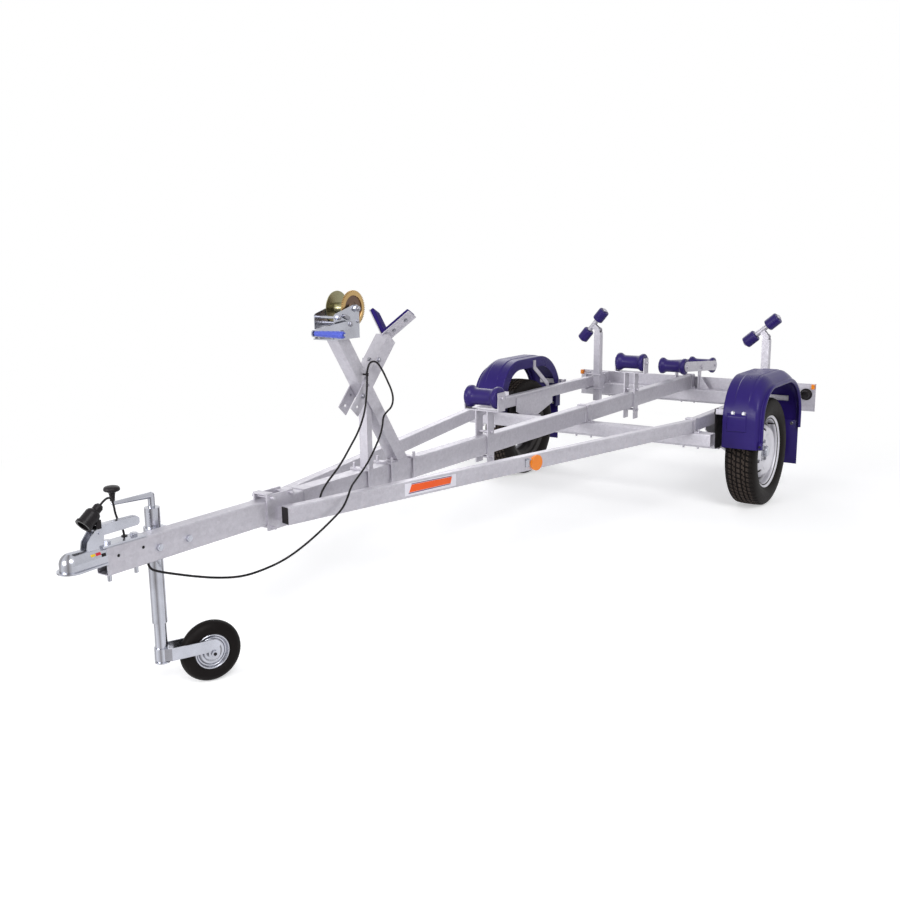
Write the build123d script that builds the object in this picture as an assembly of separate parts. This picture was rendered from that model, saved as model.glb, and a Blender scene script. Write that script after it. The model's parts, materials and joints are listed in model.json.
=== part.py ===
from build123d import *
import math
import os

# Boat trailer for a small motor boat. Millimetres. +X points forward to the
# coupler, +Y to the left side, +Z up. All places below are measured from the
# point on the floor under the middle of the axle, and the finished pieces are
# then moved so that the frame origin lies on the floor under the middle of
# the whole trailer.

# ---------------------------------------------------------------- main frame
beam_width = 50.0
beam_height = 80.0
tube_wall = 3.0
frame_underside = 442.5
beam_nose_x = 3396.0
rail_width = 40.0
rail_height = 60.0
rail_front_x = 2752.0
rail_front_y = 67.5
rail_kink_x = 590.0
rail_y = 558.0

# ------------------------------------------------------------ cross members
front_cross_x = 545.0
front_cross_depth = 60.0
front_cross_height = 60.0
front_cross_half = 662.0
rear_cross_x = -830.0
rear_cross_depth = 80.0
rear_cross_height = 70.0
rear_cross_half = 600.0
board_thickness = 3.0
board_half = 742.0
board_top = 508.0
board_bottom = 352.0
board_hem = 14.0

# ---------------------------------------------------------- wheels and axle
tyre_diameter = 547.0
tyre_width = 155.0
rim_flange_diameter = 365.0
rim_seat_diameter = 330.0
rim_width = 124.0
wheel_standoff = 137.0
wheel_y = rail_y + wheel_standoff
wheel_offset = 30.0
hub_cap_diameter = 52.0
axle_tube = 70.0
axle_x = 142.0
axle_z = 330.0
axle_overhang = 2.0
axle_half = rail_y + axle_overhang
arm_thickness = 20.0

# --------------------------------------------------------------- clearances
seat_gap = 0.3
run_gap = 0.05
swing_gap = 5.0

# ------------------------------------------------------------- boat rollers
roller_length = 156.0
roller_end_diameter = 94.0
roller_waist_diameter = 66.0
roller_pin_diameter = 16.0

beam_top = frame_underside + beam_height
rail_top = frame_underside + rail_height
rear_cross_back = rear_cross_x - rear_cross_depth / 2
board_front_x = rear_cross_back - seat_gap
wheel_z = tyre_diameter / 2

os.makedirs("parts", exist_ok=True)


tube_corner_radius = 6.0

# ------------------------------------------------------------------- helpers
def block(low, high):
    """A box given by its lowest and highest corners."""
    size = [high[i] - low[i] for i in range(3)]
    middle = [(high[i] + low[i]) / 2 for i in range(3)]
    return Pos(*middle) * Box(*size)


def rod_x(y, z, x_from, x_to, diameter):
    """A round bar along X."""
    return Pos((x_from + x_to) / 2, y, z) * Rot(0, 90, 0) * Cylinder(diameter / 2, abs(x_to - x_from))


def rod_y(x, z, y_from, y_to, diameter):
    """A round bar along Y."""
    return Pos(x, (y_from + y_to) / 2, z) * Rot(90, 0, 0) * Cylinder(diameter / 2, abs(y_to - y_from))


def rod_z(x, y, z_from, z_to, diameter):
    """A round bar along Z."""
    return Pos(x, y, (z_from + z_to) / 2) * Cylinder(diameter / 2, abs(z_to - z_from))


def plate_xz(points, y_from, y_to):
    """A flat plate with the given (x, z) corners, between two values of y."""
    face = Plane.XZ * make_face(Polyline(*points, close=True))
    return Pos(0, y_to, 0) * extrude(face, y_to - y_from)


def plate_xy(points, z_from, z_to):
    """A flat plate with the given (x, y) corners, between two heights."""
    face = make_face(Polyline(*points, close=True))
    return Pos(0, 0, z_from) * extrude(face, z_to - z_from)


def plate_yz(points, x_from, x_to):
    """A flat plate with the given (y, z) corners, between two values of x."""
    face = Plane.YZ * make_face(Polyline(*points, close=True))
    return Pos(x_from, 0, 0) * extrude(face, x_to - x_from)


def spin_y(profile, x, y, z):
    """A solid turned about a line along Y through (x, y, z); profile lists (radius, y) corners."""
    corners = [(radius, offset) for radius, offset in profile]
    face = make_face(Polyline(*corners, close=True))
    return Pos(x, y, z) * revolve(face, Axis.Y)


def flip(shape):
    """The same piece on the other side of the trailer."""
    return mirror(shape, about=Plane.XZ)


def strip_corners(path, width, extra=0.0):
    """Corners, in plan, of a strip of even width along a bent path, mitred at its bends."""
    count = len(path)
    left = []
    right = []
    for index in range(count):
        before = Vector(*path[max(index - 1, 0)])
        here = Vector(*path[index])
        after = Vector(*path[min(index + 1, count - 1)])
        into = (here - before).normalized() if index > 0 else (after - here).normalized()
        away = (after - here).normalized() if index < count - 1 else into
        middle = (into + away).normalized()
        normal = Vector(-middle.Y, middle.X)
        reach = width / 2 / math.cos(into.get_angle(away) * math.pi / 360)
        shift = Vector(0, 0)
        if index == 0:
            shift = away * -extra
        if index == count - 1:
            shift = into * extra
        left.append(here + normal * reach + shift)
        right.append(here - normal * reach + shift)
    return [(point.X, point.Y) for point in left + right[::-1]]


def box_tube(path, width, height, wall, underside):
    """An open-ended rectangular tube along a bent path in plan."""
    outer = plate_xy(strip_corners(path, width), underside, underside + height)
    long_edges = [
        edge
        for edge in outer.edges()
        if edge.length > 1.2 * width and abs(abs(edge.center().Z - underside - height / 2) - height / 2) < 0.01
    ]
    outer = fillet(long_edges, tube_corner_radius)
    bore = plate_xy(
        strip_corners(path, width - 2 * wall, extra=1.0),
        underside + wall,
        underside + height - wall,
    )
    return outer - bore


def save(name, shape):
    """Move a finished piece into the trailer's own frame and write it."""
    export_step(Pos(-middle_x, 0, 0) * shape, "parts/" + name + ".step")


# --------------------------------------------------------------- overall size
coupler_reach = 134.0
coupler_tip_x = beam_nose_x + coupler_reach
rocker_front_x = -588.0
rocker_rear_x = -1048.0
tail_x = rocker_rear_x - roller_end_diameter / 2
middle_x = (coupler_tip_x + tail_x) / 2


# ---------------------------------------------------------------- main frame
beam_tail_x = board_front_x + seat_gap
beam_bolt_gap = 0.3

beam = box_tube(
    [(beam_nose_x, 0), (beam_tail_x, 0)],
    beam_width,
    beam_height,
    tube_wall,
    frame_underside,
)

# Bolts across the beam hold the jack's clamp, upright bolts hold the coupler.
jack_setback = 228.0
jack_standoff = 37.0
jack_x = beam_nose_x - jack_setback
jack_y = -beam_width / 2 - jack_standoff
jack_bolt_spacing = 108.0
jack_bolt_z = frame_underside + 38.5
jack_bolt_diameter = 12.0
coupler_bolt_setback = (20.0, 110.0)
coupler_bolt_x = [beam_nose_x - setback for setback in coupler_bolt_setback]
coupler_bolt_diameter = 12.0
for side in (-1, 1):
    beam -= rod_y(
        jack_x + side * jack_bolt_spacing / 2,
        jack_bolt_z,
        -40,
        40,
        jack_bolt_diameter + 2 * beam_bolt_gap,
    )
for bolt_x in coupler_bolt_x:
    beam -= rod_z(
        bolt_x,
        0,
        frame_underside - 1,
        beam_top + 1,
        coupler_bolt_diameter + 2 * beam_bolt_gap,
    )

# The lamps' cable enters the beam's left face and runs inside it, comes out
# below the jack's clamp, and goes in again; the plug's lead goes in on top.
cable_hole_diameter = 12.0
side_cable_hole = (2590.0, 457.0)
lower_cable_hole = (3252.0, 8.0)
top_cable_hole = (3306.0, -15.0)
beam -= rod_y(side_cable_hole[0], side_cable_hole[1], beam_width / 2 - 10, beam_width / 2 + 1, cable_hole_diameter)
beam -= rod_z(
    lower_cable_hole[0],
    lower_cable_hole[1],
    frame_underside - 1,
    frame_underside + 10,
    cable_hole_diameter,
)
beam -= rod_z(top_cable_hole[0], top_cable_hole[1], beam_top - 10, beam_top + 1, cable_hole_diameter)
save("beam", beam)

rail_path = [(rail_front_x, rail_front_y), (rail_kink_x, rail_y), (beam_tail_x, rail_y)]
left_rail = box_tube(rail_path, rail_width, rail_height, tube_wall, frame_underside)
save("rails", left_rail + flip(left_rail))

# The rails' front ends are held between two side plates that grip the beam.
clamp_x = (2672.0, 2792.0)
clamp_plate = 6.0
clamp_margin = 18.0
clamp_bolt_diameter = 10.0
clamp_bolt_inset = 16.0
clamp_bolt_reach = 48.0
clamp_bridge_width = 26.0
wedge_x = (2690.0, 2745.0)
wedge_inset = 8.0
rail_slope = (rail_y - rail_front_y) / (rail_front_x - rail_kink_x)
rail_inner_offset = rail_width / 2 * math.sqrt(1 + rail_slope**2) + seat_gap


def rail_inner_y(x):
    """Where the inner face of the sloping part of the left rail lies."""
    return rail_front_y + (rail_front_x - x) * rail_slope - rail_inner_offset


clamp_face_y = beam_width / 2 + clamp_plate
front_clamp = Part()
for side in (1, -1):
    plate = block(
        (clamp_x[0], beam_width / 2, frame_underside - clamp_margin),
        (clamp_x[1], clamp_face_y, beam_top + clamp_margin),
    )
    wedge = plate_xy(
        [
            (wedge_x[0], clamp_face_y),
            (wedge_x[1], clamp_face_y),
            (wedge_x[1], rail_inner_y(wedge_x[1])),
            (wedge_x[0], rail_inner_y(wedge_x[0])),
        ],
        frame_underside + wedge_inset,
        rail_top - wedge_inset,
    )
    half = plate + wedge
    front_clamp += half if side > 0 else flip(half)
for bolt_x in (clamp_x[0] + clamp_bolt_inset, clamp_x[1] - clamp_bolt_inset):
    for bolt_z in (frame_underside - clamp_margin / 2, beam_top + clamp_margin / 2):
        front_clamp += rod_y(bolt_x, bolt_z, -clamp_bolt_reach, clamp_bolt_reach, clamp_bolt_diameter)
front_clamp += block(
    (clamp_x[1] - clamp_bridge_width, -clamp_face_y, beam_top + clamp_margin),
    (clamp_x[1], clamp_face_y, beam_top + clamp_margin + clamp_plate),
)
save("front_clamp", front_clamp)

# ------------------------------------------------------------- cross members
# Each strap goes over a tube and is bolted down through the cross member.
strap_thickness = 5.0
strap_width = 34.0
strap_foot = 20.0
strap_bolt_diameter = 10.0
strap_bolt_drop = 18.0
strap_bolt_rise = 9.0
strap_hole_diameter = strap_bolt_diameter + 2 * seat_gap
# name, middle of the tube across, its width, its height
strapped_tubes = (
    ("left rail", rail_y, rail_width, rail_height),
    ("beam", 0.0, beam_width, beam_height),
    ("right rail", -rail_y, rail_width, rail_height),
)
# x, depth, height, half length
cross_tubes = (
    (front_cross_x, front_cross_depth, front_cross_height, front_cross_half),
    (rear_cross_x, rear_cross_depth, rear_cross_height, rear_cross_half),
)


def strap_bolt_y(width):
    """How far from a tube's middle the bolts of its strap stand."""
    return width / 2 + seat_gap + strap_thickness + strap_foot / 2


def strap(x, y, width, height):
    """A hat-shaped strap over one tube, with a bolt through each foot."""
    inner = width / 2 + seat_gap
    outer = inner + strap_thickness
    top = frame_underside + height + seat_gap
    x_from = x - strap_width / 2
    x_to = x + strap_width / 2
    shape = block((x_from, y - outer, frame_underside), (x_to, y + outer, top + strap_thickness))
    shape -= block((x_from - 1, y - inner, frame_underside - 1), (x_to + 1, y + inner, top))
    for side in (1, -1):
        foot_from = y + side * outer
        foot_to = y + side * (outer + strap_foot)
        shape += block(
            (x_from, min(foot_from, foot_to), frame_underside),
            (x_to, max(foot_from, foot_to), frame_underside + strap_thickness),
        )
    return shape


straps = Part()
cross_members = Part()
for cross_x, depth, height, half_length in cross_tubes:
    member = box_tube(
        [(cross_x, -half_length), (cross_x, half_length)],
        depth,
        height,
        tube_wall,
        frame_underside - height,
    )
    for tube_name, tube_y, tube_width, tube_height in strapped_tubes:
        straps += strap(cross_x, tube_y, tube_width, tube_height)
        for side in (1, -1):
            bolt_y = tube_y + side * strap_bolt_y(tube_width)
            member -= rod_z(cross_x, bolt_y, frame_underside - height - 1, frame_underside + 1, strap_hole_diameter)
            straps += rod_z(
                cross_x,
                bolt_y,
                frame_underside - height - strap_bolt_drop,
                frame_underside + strap_thickness + strap_bolt_rise,
                strap_bolt_diameter,
            )
    cross_members += member
save("cross_members", cross_members)
save("straps", straps)

# The tail board stands against the back of the rear cross member.
tail_board = block(
    (board_front_x - board_thickness, -board_half, board_bottom),
    (board_front_x, board_half, board_top),
)
tail_board += block(
    (board_front_x - board_hem, -board_half, board_top - board_thickness),
    (board_front_x, board_half, board_top),
)
save("tail_board", tail_board)

# ------------------------------------------------------------ axle and wheels
hub_bore_diameter = 40.0
hub_barrel_diameter = 64.0
hub_flange_diameter = 124.0
hub_flange_thickness = 10.0
hub_inner_y = -26.0
hub_cap_end = 60.0
stub_end = 40.0
disc_thickness = 4.0
arm_width = 64.0
arm_y = axle_half + seat_gap

axle_beam = block(
    (axle_x - axle_tube / 2, -axle_half, axle_z - axle_tube / 2),
    (axle_x + axle_tube / 2, axle_half, axle_z + axle_tube / 2),
)
bore_half = axle_tube / 2 - 2 * tube_wall
axle_beam -= block(
    (axle_x - bore_half, -axle_half - 1, axle_z - bore_half),
    (axle_x + bore_half, axle_half + 1, axle_z + bore_half),
)
axle_beam = axle_beam.clean()
save("axle_beam", axle_beam)


def slot_link(start, end, width, y_from, y_to):
    """A flat link with round ends between two (x, z) points."""
    length = math.hypot(end[0] - start[0], end[1] - start[1])
    lean = math.degrees(math.atan2(end[1] - start[1], end[0] - start[0]))
    middle = ((start[0] + end[0]) / 2, (start[1] + end[1]) / 2)
    face = Plane.XZ * (Pos(*middle) * Rot(0, 0, lean) * SlotCenterToCenter(length, width))
    return Pos(0, y_to, 0) * extrude(face, y_to - y_from)


arm = slot_link((axle_x, axle_z), (0, wheel_z), arm_width, arm_y, arm_y + arm_thickness)
arm += rod_y(0, wheel_z, arm_y + arm_thickness, wheel_y + stub_end, hub_bore_diameter)
arm += rod_y(axle_x, axle_z, axle_half - 40, arm_y, 2 * bore_half - 2)
arms = arm + flip(arm)
save("suspension_arms", arms)

# Plates on the inner faces of the rails carry the axle.
carrier_thickness = 6.0
carrier_x = (-98.0, 300.0)
carrier_top = 488.0
carrier_shoulder = 412.0
carrier_foot_y = 44.0
carrier_outer_y = rail_y - rail_width / 2 - seat_gap
axle_top = axle_z + axle_tube / 2 + seat_gap
carrier = plate_xz(
    [
        (carrier_x[0], carrier_top),
        (carrier_x[1], carrier_top),
        (carrier_x[1], carrier_shoulder),
        (axle_x + axle_tube, axle_top),
        (axle_x - axle_tube, axle_top),
        (carrier_x[0], carrier_shoulder),
    ],
    carrier_outer_y - carrier_thickness,
    carrier_outer_y,
)
carrier += block(
    (axle_x - axle_tube / 2, carrier_outer_y - carrier_foot_y, axle_top),
    (axle_x + axle_tube / 2, carrier_outer_y, axle_top + carrier_thickness),
)
save("axle_carriers", carrier + flip(carrier))

rim_half = rim_width / 2
flange_radius = rim_flange_diameter / 2
seat_radius = rim_seat_diameter / 2
rim_sheet = 4.0
well_radius = seat_radius - 17.0
disc_face = wheel_offset + disc_thickness
# radius, place along the wheel's axis: outside of the rim, then its inside
rim_section = (
    (flange_radius, -rim_half),
    (flange_radius, -rim_half + rim_sheet),
    (seat_radius, -rim_half + 7),
    (seat_radius, -38),
    (well_radius, -28),
    (well_radius, 8),
    (seat_radius, 24),
    (seat_radius, rim_half - 7),
    (flange_radius, rim_half - rim_sheet),
    (flange_radius, rim_half),
    (flange_radius - rim_sheet, rim_half),
    (seat_radius - rim_sheet, rim_half - 5),
    (seat_radius - rim_sheet, 26),
    (well_radius - rim_sheet, 10),
    (well_radius - rim_sheet, -30),
    (seat_radius - rim_sheet, -40),
    (seat_radius - rim_sheet, -rim_half + 5),
    (flange_radius - rim_sheet, -rim_half),
)
disc_hole_radius = hub_cap_diameter / 2 + 4
# radius, place of the disc's outer face
disc_line = (
    (disc_hole_radius, disc_face),
    (72.0, disc_face),
    (84.0, disc_face + 12),
    (102.0, disc_face + 15),
    (118.0, disc_face + 6),
    (131.0, disc_face - 14),
    (well_radius - rim_sheet + 0.5, disc_face - 34),
)
disc_section = disc_line + tuple((radius, place - disc_thickness) for radius, place in disc_line[::-1])
vent_count = 12
vent_radius = 123.0
vent_diameter = 20.0

rim = spin_y(rim_section, 0, 0, 0) + spin_y(disc_section, 0, 0, 0)
for index in range(vent_count):
    turn = 360 / vent_count * index
    vent = Rot(0, turn, 0) * Pos(vent_radius, 20, 0) * Rot(90, 0, 0) * Cylinder(vent_diameter / 2, 60)
    rim -= vent

tread_radius = tyre_diameter / 2
bead_radius = seat_radius + seat_gap
tyre_half = tyre_width / 2
# radius, place along the wheel's axis: outside, then the inner hollow
tyre_section = (
    (bead_radius, -rim_half + 8),
    (flange_radius - 1, -rim_half + rim_sheet + 2),
    (flange_radius + 0.5, -rim_half + rim_sheet + 1),
    (flange_radius + 3, -rim_half - 1),
    (flange_radius + 20, -tyre_half + 5),
    (flange_radius + 42, -tyre_half),
    (flange_radius + 68, -tyre_half + 3),
    (tread_radius - 9, -tyre_half + 9),
    (tread_radius - 2, -tyre_half + 20),
    (tread_radius, -tyre_half + 36),
    (tread_radius, tyre_half - 36),
    (tread_radius - 2, tyre_half - 20),
    (tread_radius - 9, tyre_half - 9),
    (flange_radius + 68, tyre_half - 3),
    (flange_radius + 42, tyre_half),
    (flange_radius + 20, tyre_half - 5),
    (flange_radius + 3, rim_half + 1),
    (flange_radius + 0.5, rim_half - rim_sheet - 1),
    (flange_radius - 1, rim_half - rim_sheet - 2),
    (bead_radius, rim_half - 8),
    (bead_radius, rim_half - 20),
    (flange_radius + 8, rim_half - 12),
    (flange_radius + 42, tyre_half - 9),
    (tread_radius - 14, tyre_half - 22),
    (tread_radius - 14, -tyre_half + 22),
    (flange_radius + 42, -tyre_half + 9),
    (flange_radius + 8, -rim_half + 12),
    (bead_radius, -rim_half + 20),
)
tyre = spin_y(tyre_section, 0, 0, 0)

hub_seat = wheel_offset - seat_gap
hub_section = (
    (hub_bore_diameter / 2 + run_gap, hub_inner_y),
    (hub_barrel_diameter / 2, hub_inner_y),
    (hub_barrel_diameter / 2, hub_seat - hub_flange_thickness),
    (hub_flange_diameter / 2, hub_seat - hub_flange_thickness),
    (hub_flange_diameter / 2, hub_seat),
    (hub_cap_diameter / 2, hub_seat),
    (hub_cap_diameter / 2, hub_cap_end - 8),
    (hub_cap_diameter / 2 - 6, hub_cap_end),
    (0, hub_cap_end),
    (0, stub_end + 2),
    (hub_bore_diameter / 2 + run_gap, stub_end + 2),
)
hub = spin_y(hub_section, 0, 0, 0)

for piece_name, piece in (("tyre", tyre), ("rim", rim), ("hub", hub)):
    left_piece = Pos(0, wheel_y, wheel_z) * piece
    save("left_" + piece_name, left_piece)
    save("right_" + piece_name, flip(left_piece))

# ---------------------------------------------------------------- mudguards
guard_sheet = 4.0
guard_inner_reach = 74.0
guard_outer_reach = 103.0
guard_inner_y = wheel_y - guard_inner_reach
guard_outer_y = wheel_y + guard_outer_reach
guard_front_x = 310.0
guard_rear_x = -360.0
guard_top = 672.0
guard_front_radius = 200.0
guard_rear_radius = 250.0
guard_front_bottom = 335.0
guard_rear_bottom = 352.0
guard_flange = 56.0
guard_lip_width = 18.0
guard_lip_inset = 14.0
guard_lip_depth = 38.0
guard_lip_radius = 8.0
guard_side_depth = 30.0
guard_shoulder_radius = 20.0
guard_inner_corner_radius = 6.0
flap_bottom = 150.0
flap_inner_y = guard_inner_y + 13.0
flap_overlap = 30.0


def arch_face(inset):
    """The upright region under the mudguard's arch, drawn in by an even distance."""
    front = guard_front_x - inset
    rear = guard_rear_x + inset
    top = guard_top - inset
    front_radius = guard_front_radius - inset
    rear_radius = guard_rear_radius - inset
    foot = guard_front_bottom - 40
    outline = [
        Line((rear, foot), (rear, top - rear_radius)),
        RadiusArc((rear, top - rear_radius), (rear + rear_radius, top), rear_radius),
        Line((rear + rear_radius, top), (front - front_radius, top)),
        RadiusArc((front - front_radius, top), (front, top - front_radius), front_radius),
        Line((front, top - front_radius), (front, foot)),
        Line((front, foot), (rear, foot)),
    ]
    return Plane.XZ * make_face(outline)


def arch_band(outer_inset, inner_inset, y_from, y_to):
    """A band that follows the arch between two insets."""
    band = arch_face(outer_inset) - arch_face(inner_inset)
    return Pos(0, y_to, 0) * extrude(band, y_to - y_from)


def rounded_arch(inset, y_from, y_to, inner_radius, outer_radius):
    """The whole region under the arch between two widths, its curved edges rounded."""
    form = Pos(0, y_to, 0) * extrude(arch_face(inset), y_to - y_from)
    foot = guard_front_bottom - 40
    for y, radius in ((y_from, inner_radius), (y_to, outer_radius)):
        rim = [
            edge
            for edge in form.edges()
            if abs(edge.center().Y - y) < 0.01 and edge.center().Z > foot + 1
        ]
        form = fillet(rim, radius)
    return form


guard = rounded_arch(0, guard_inner_y, guard_outer_y, guard_inner_corner_radius, guard_shoulder_radius)
guard -= rounded_arch(
    guard_sheet,
    guard_inner_y + guard_sheet,
    guard_outer_y - guard_sheet,
    guard_inner_corner_radius - guard_sheet,
    guard_shoulder_radius - guard_sheet,
)
guard -= Pos(0, guard_inner_y + guard_sheet + 1, 0) * extrude(arch_face(guard_flange), guard_sheet + 2)
guard -= Pos(0, guard_outer_y + 1, 0) * extrude(arch_face(guard_side_depth), guard_sheet + 2)
guard_lip = arch_band(
    guard_lip_inset, guard_lip_depth, guard_outer_y - guard_sheet, guard_outer_y + guard_lip_width
)
guard_lip_rim = [
    edge
    for edge in guard_lip.edges()
    if abs(edge.center().Y - guard_outer_y - guard_lip_width) < 0.01
    and edge.center().Z > guard_front_bottom - 39
]
guard += fillet(guard_lip_rim, guard_lip_radius)
guard -= block(
    (0, guard_inner_y - 1, guard_front_bottom - 60),
    (guard_front_x + 10, guard_outer_y + guard_lip_width + 1, guard_front_bottom),
)
guard -= block(
    (guard_rear_x - 10, guard_inner_y - 1, guard_front_bottom - 60),
    (0, guard_outer_y + guard_lip_width + 1, guard_rear_bottom),
)
guard += block(
    (guard_rear_x + guard_sheet, flap_inner_y, flap_bottom),
    (guard_rear_x + 2 * guard_sheet, guard_outer_y, guard_rear_bottom + flap_overlap),
)

# Each guard hangs on a plate at the rail's outer face, with an arm behind the
# guard's front, and on a bent strap further back.
hanger_setback = 10.0
hanger_depth = 112.0
hanger_inset = 8.0
hanger_face_x = guard_front_x - hanger_setback
hanger_x = (hanger_face_x - hanger_depth, hanger_face_x - hanger_inset)
hanger_z = (318.0, 496.0)
hanger_thickness = 6.0
hanger_arm_z = (492.0, 518.0)
hanger_arm_end_y = guard_outer_y - 56.0
rail_outer_y = rail_y + rail_width / 2
hanger_y = rail_outer_y + seat_gap
hanger = plate_xz(
    [
        (hanger_x[0], hanger_z[0]),
        (hanger_x[1] - 16, hanger_z[0]),
        (hanger_x[1], hanger_z[0] + 30),
        (hanger_x[1], hanger_z[1]),
        (hanger_x[0], hanger_z[1]),
    ],
    hanger_y,
    hanger_y + hanger_thickness,
)
hanger += block(
    (hanger_x[1] - 30, hanger_y, hanger_arm_z[0]),
    (hanger_face_x, hanger_y + hanger_thickness, hanger_arm_z[1]),
)
save("guard_hangers", hanger + flip(hanger))

arm_bar = block(
    (hanger_face_x - hanger_thickness, hanger_y + hanger_thickness, hanger_arm_z[0]),
    (hanger_face_x, hanger_arm_end_y, hanger_arm_z[1]),
)
strap_bar_width = 26.0
strap_bar_thickness = 5.0
guard_strap_foot = (-128.0, rail_outer_y + seat_gap + strap_bar_thickness / 2, 450.0)
guard_strap_low = (-128.0, rail_outer_y + seat_gap + strap_bar_thickness / 2, rail_top + 8)
guard_strap_high = (-40.0, guard_inner_y - seat_gap - strap_bar_thickness / 2, 612.0)
guard_strap_end = (-40.0, guard_inner_y - seat_gap - strap_bar_thickness / 2, 655.0)


def bar_between(start, end, width, thickness):
    """A flat bar between two points, its broad side facing sideways."""
    a = Vector(*start)
    b = Vector(*end)
    along = (b - a).normalized()
    across = Vector(0, 1, 0)
    side = along.cross(across).normalized()
    face_normal = side.cross(along).normalized()
    plane = Plane(origin=a, x_dir=side, z_dir=along)
    return extrude(plane * Rectangle(width, thickness), (b - a).length)


guard_strap = bar_between(guard_strap_foot, guard_strap_low, strap_bar_width, strap_bar_thickness)
guard_strap += bar_between(guard_strap_low, guard_strap_high, strap_bar_width, strap_bar_thickness)
guard_strap += bar_between(guard_strap_high, guard_strap_end, strap_bar_width, strap_bar_thickness)
for corner in (guard_strap_low, guard_strap_high):
    guard_strap += rod_y(
        corner[0],
        corner[2],
        corner[1] - strap_bar_thickness / 2,
        corner[1] + strap_bar_thickness / 2,
        strap_bar_width,
    )
guard_arms = guard_strap + arm_bar
save("guard_arms", guard_arms + flip(guard_arms))

# The guard's inner flange is notched where the arm passes.
notch_gap = 2.0
guard -= block(
    (hanger_face_x - hanger_thickness - notch_gap, guard_inner_y - 1, hanger_arm_z[0] - notch_gap),
    (hanger_face_x + notch_gap, guard_inner_y + guard_sheet + 1, hanger_arm_z[1] + notch_gap),
)
save("guards", guard + flip(guard))

# -------------------------------------------------------------- keel rollers
yoke_sheet = 5.0
yoke_half_depth = 27.0
upright_thickness = 6.0
upright_half_width = 25.0
upright_y = beam_width / 2 + seat_gap
yoke_base_z = 627.0
roller_axis_z = yoke_base_z + yoke_sheet + roller_end_diameter / 2 + 4
yoke_inner_y = roller_length / 2 + 2
yoke_ear_rise = 24.0
upright_bolt_diameter = 12.0
upright_bolt_gap = 14.0
roller_bore_radius = roller_pin_diameter / 2 + run_gap
end_radius = roller_end_diameter / 2
waist_radius = roller_waist_diameter / 2
roller_half = roller_length / 2
# radius, place along the roller's axis
roller_section = (
    (roller_bore_radius, -roller_half),
    (end_radius - 8, -roller_half),
    (end_radius, -roller_half + 8),
    (end_radius, -roller_half + 18),
    (waist_radius + 4, -roller_half + 38),
    (waist_radius, -roller_half + 52),
    (waist_radius, roller_half - 52),
    (waist_radius + 4, roller_half - 38),
    (end_radius, roller_half - 18),
    (end_radius, roller_half - 8),
    (end_radius - 8, roller_half),
    (roller_bore_radius, roller_half),
)
keel_roller = spin_y(roller_section, 0, 0, 0)
# name, x, foot of the uprights
keel_supports = (
    ("front", 1462.0, 404.0),
    ("middle", -4.0, 380.0),
)
keel_brackets = Part()
for place_name, support_x, foot_z in keel_supports:
    bracket = block(
        (support_x - yoke_half_depth, -yoke_inner_y - yoke_sheet, yoke_base_z),
        (support_x + yoke_half_depth, yoke_inner_y + yoke_sheet, yoke_base_z + yoke_sheet),
    )
    for side in (1, -1):
        ear_from = min(side * yoke_inner_y, side * (yoke_inner_y + yoke_sheet))
        bracket += block(
            (support_x - yoke_half_depth, ear_from, yoke_base_z),
            (support_x + yoke_half_depth, ear_from + yoke_sheet, roller_axis_z + yoke_ear_rise),
        )
        leg_from = min(side * upright_y, side * (upright_y + upright_thickness))
        bracket += block(
            (support_x - upright_half_width, leg_from, foot_z),
            (support_x + upright_half_width, leg_from + upright_thickness, yoke_base_z),
        )
    for bolt_z in (frame_underside - upright_bolt_gap, beam_top + upright_bolt_gap):
        reach = upright_y + upright_thickness + 12
        bracket += rod_y(support_x, bolt_z, -reach, reach, upright_bolt_diameter)
    pin_reach = yoke_inner_y + yoke_sheet + 10
    bracket += rod_y(support_x, roller_axis_z, -pin_reach, pin_reach, roller_pin_diameter)
    keel_brackets += bracket
    save("keel_roller_" + place_name, Pos(support_x, 0, roller_axis_z) * keel_roller)
save("keel_brackets", keel_brackets)

# ------------------------------------------------------ rear rocking rollers
rocker_pivot_x = -820.0
rocker_pivot_z = 575.0
rocker_front_z = 600.0
rocker_rear_z = 562.0
rocker_plate = 4.0
rocker_inner_y = roller_length / 2 + 2
rocker_height = 58.0
pivot_tube_diameter = 22.0
leg_thickness = 6.0
leg_outer_y = rocker_inner_y - swing_gap
leg_half_width = 20.0
gusset_reach = 62.0
gusset_rise = 84.0


def link_face(start, end, width):
    """A round-ended strip in the upright plane between two (x, z) points."""
    return slot_link(start, end, width, 0, rocker_plate)


rocker_front = (rocker_front_x, rocker_front_z)
rocker_rear = (rocker_rear_x, rocker_rear_z)
rocker_side = Pos(0, rocker_inner_y, 0) * link_face(rocker_front, rocker_rear, rocker_height)
rocker = rocker_side + flip(rocker_side)
rocker_reach = rocker_inner_y + rocker_plate + 8
for pin_x, pin_z, pin_diameter in (
    (rocker_front_x, rocker_front_z, roller_pin_diameter),
    (rocker_rear_x, rocker_rear_z, roller_pin_diameter),
    (rocker_pivot_x, rocker_pivot_z, pivot_tube_diameter),
):
    rocker += rod_y(pin_x, pin_z, -rocker_reach, rocker_reach, pin_diameter)
save("rocker", rocker)
save("rocker_roller_front", Pos(rocker_front_x, 0, rocker_front_z) * keel_roller)
save("rocker_roller_rear", Pos(rocker_rear_x, 0, rocker_rear_z) * keel_roller)

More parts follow.
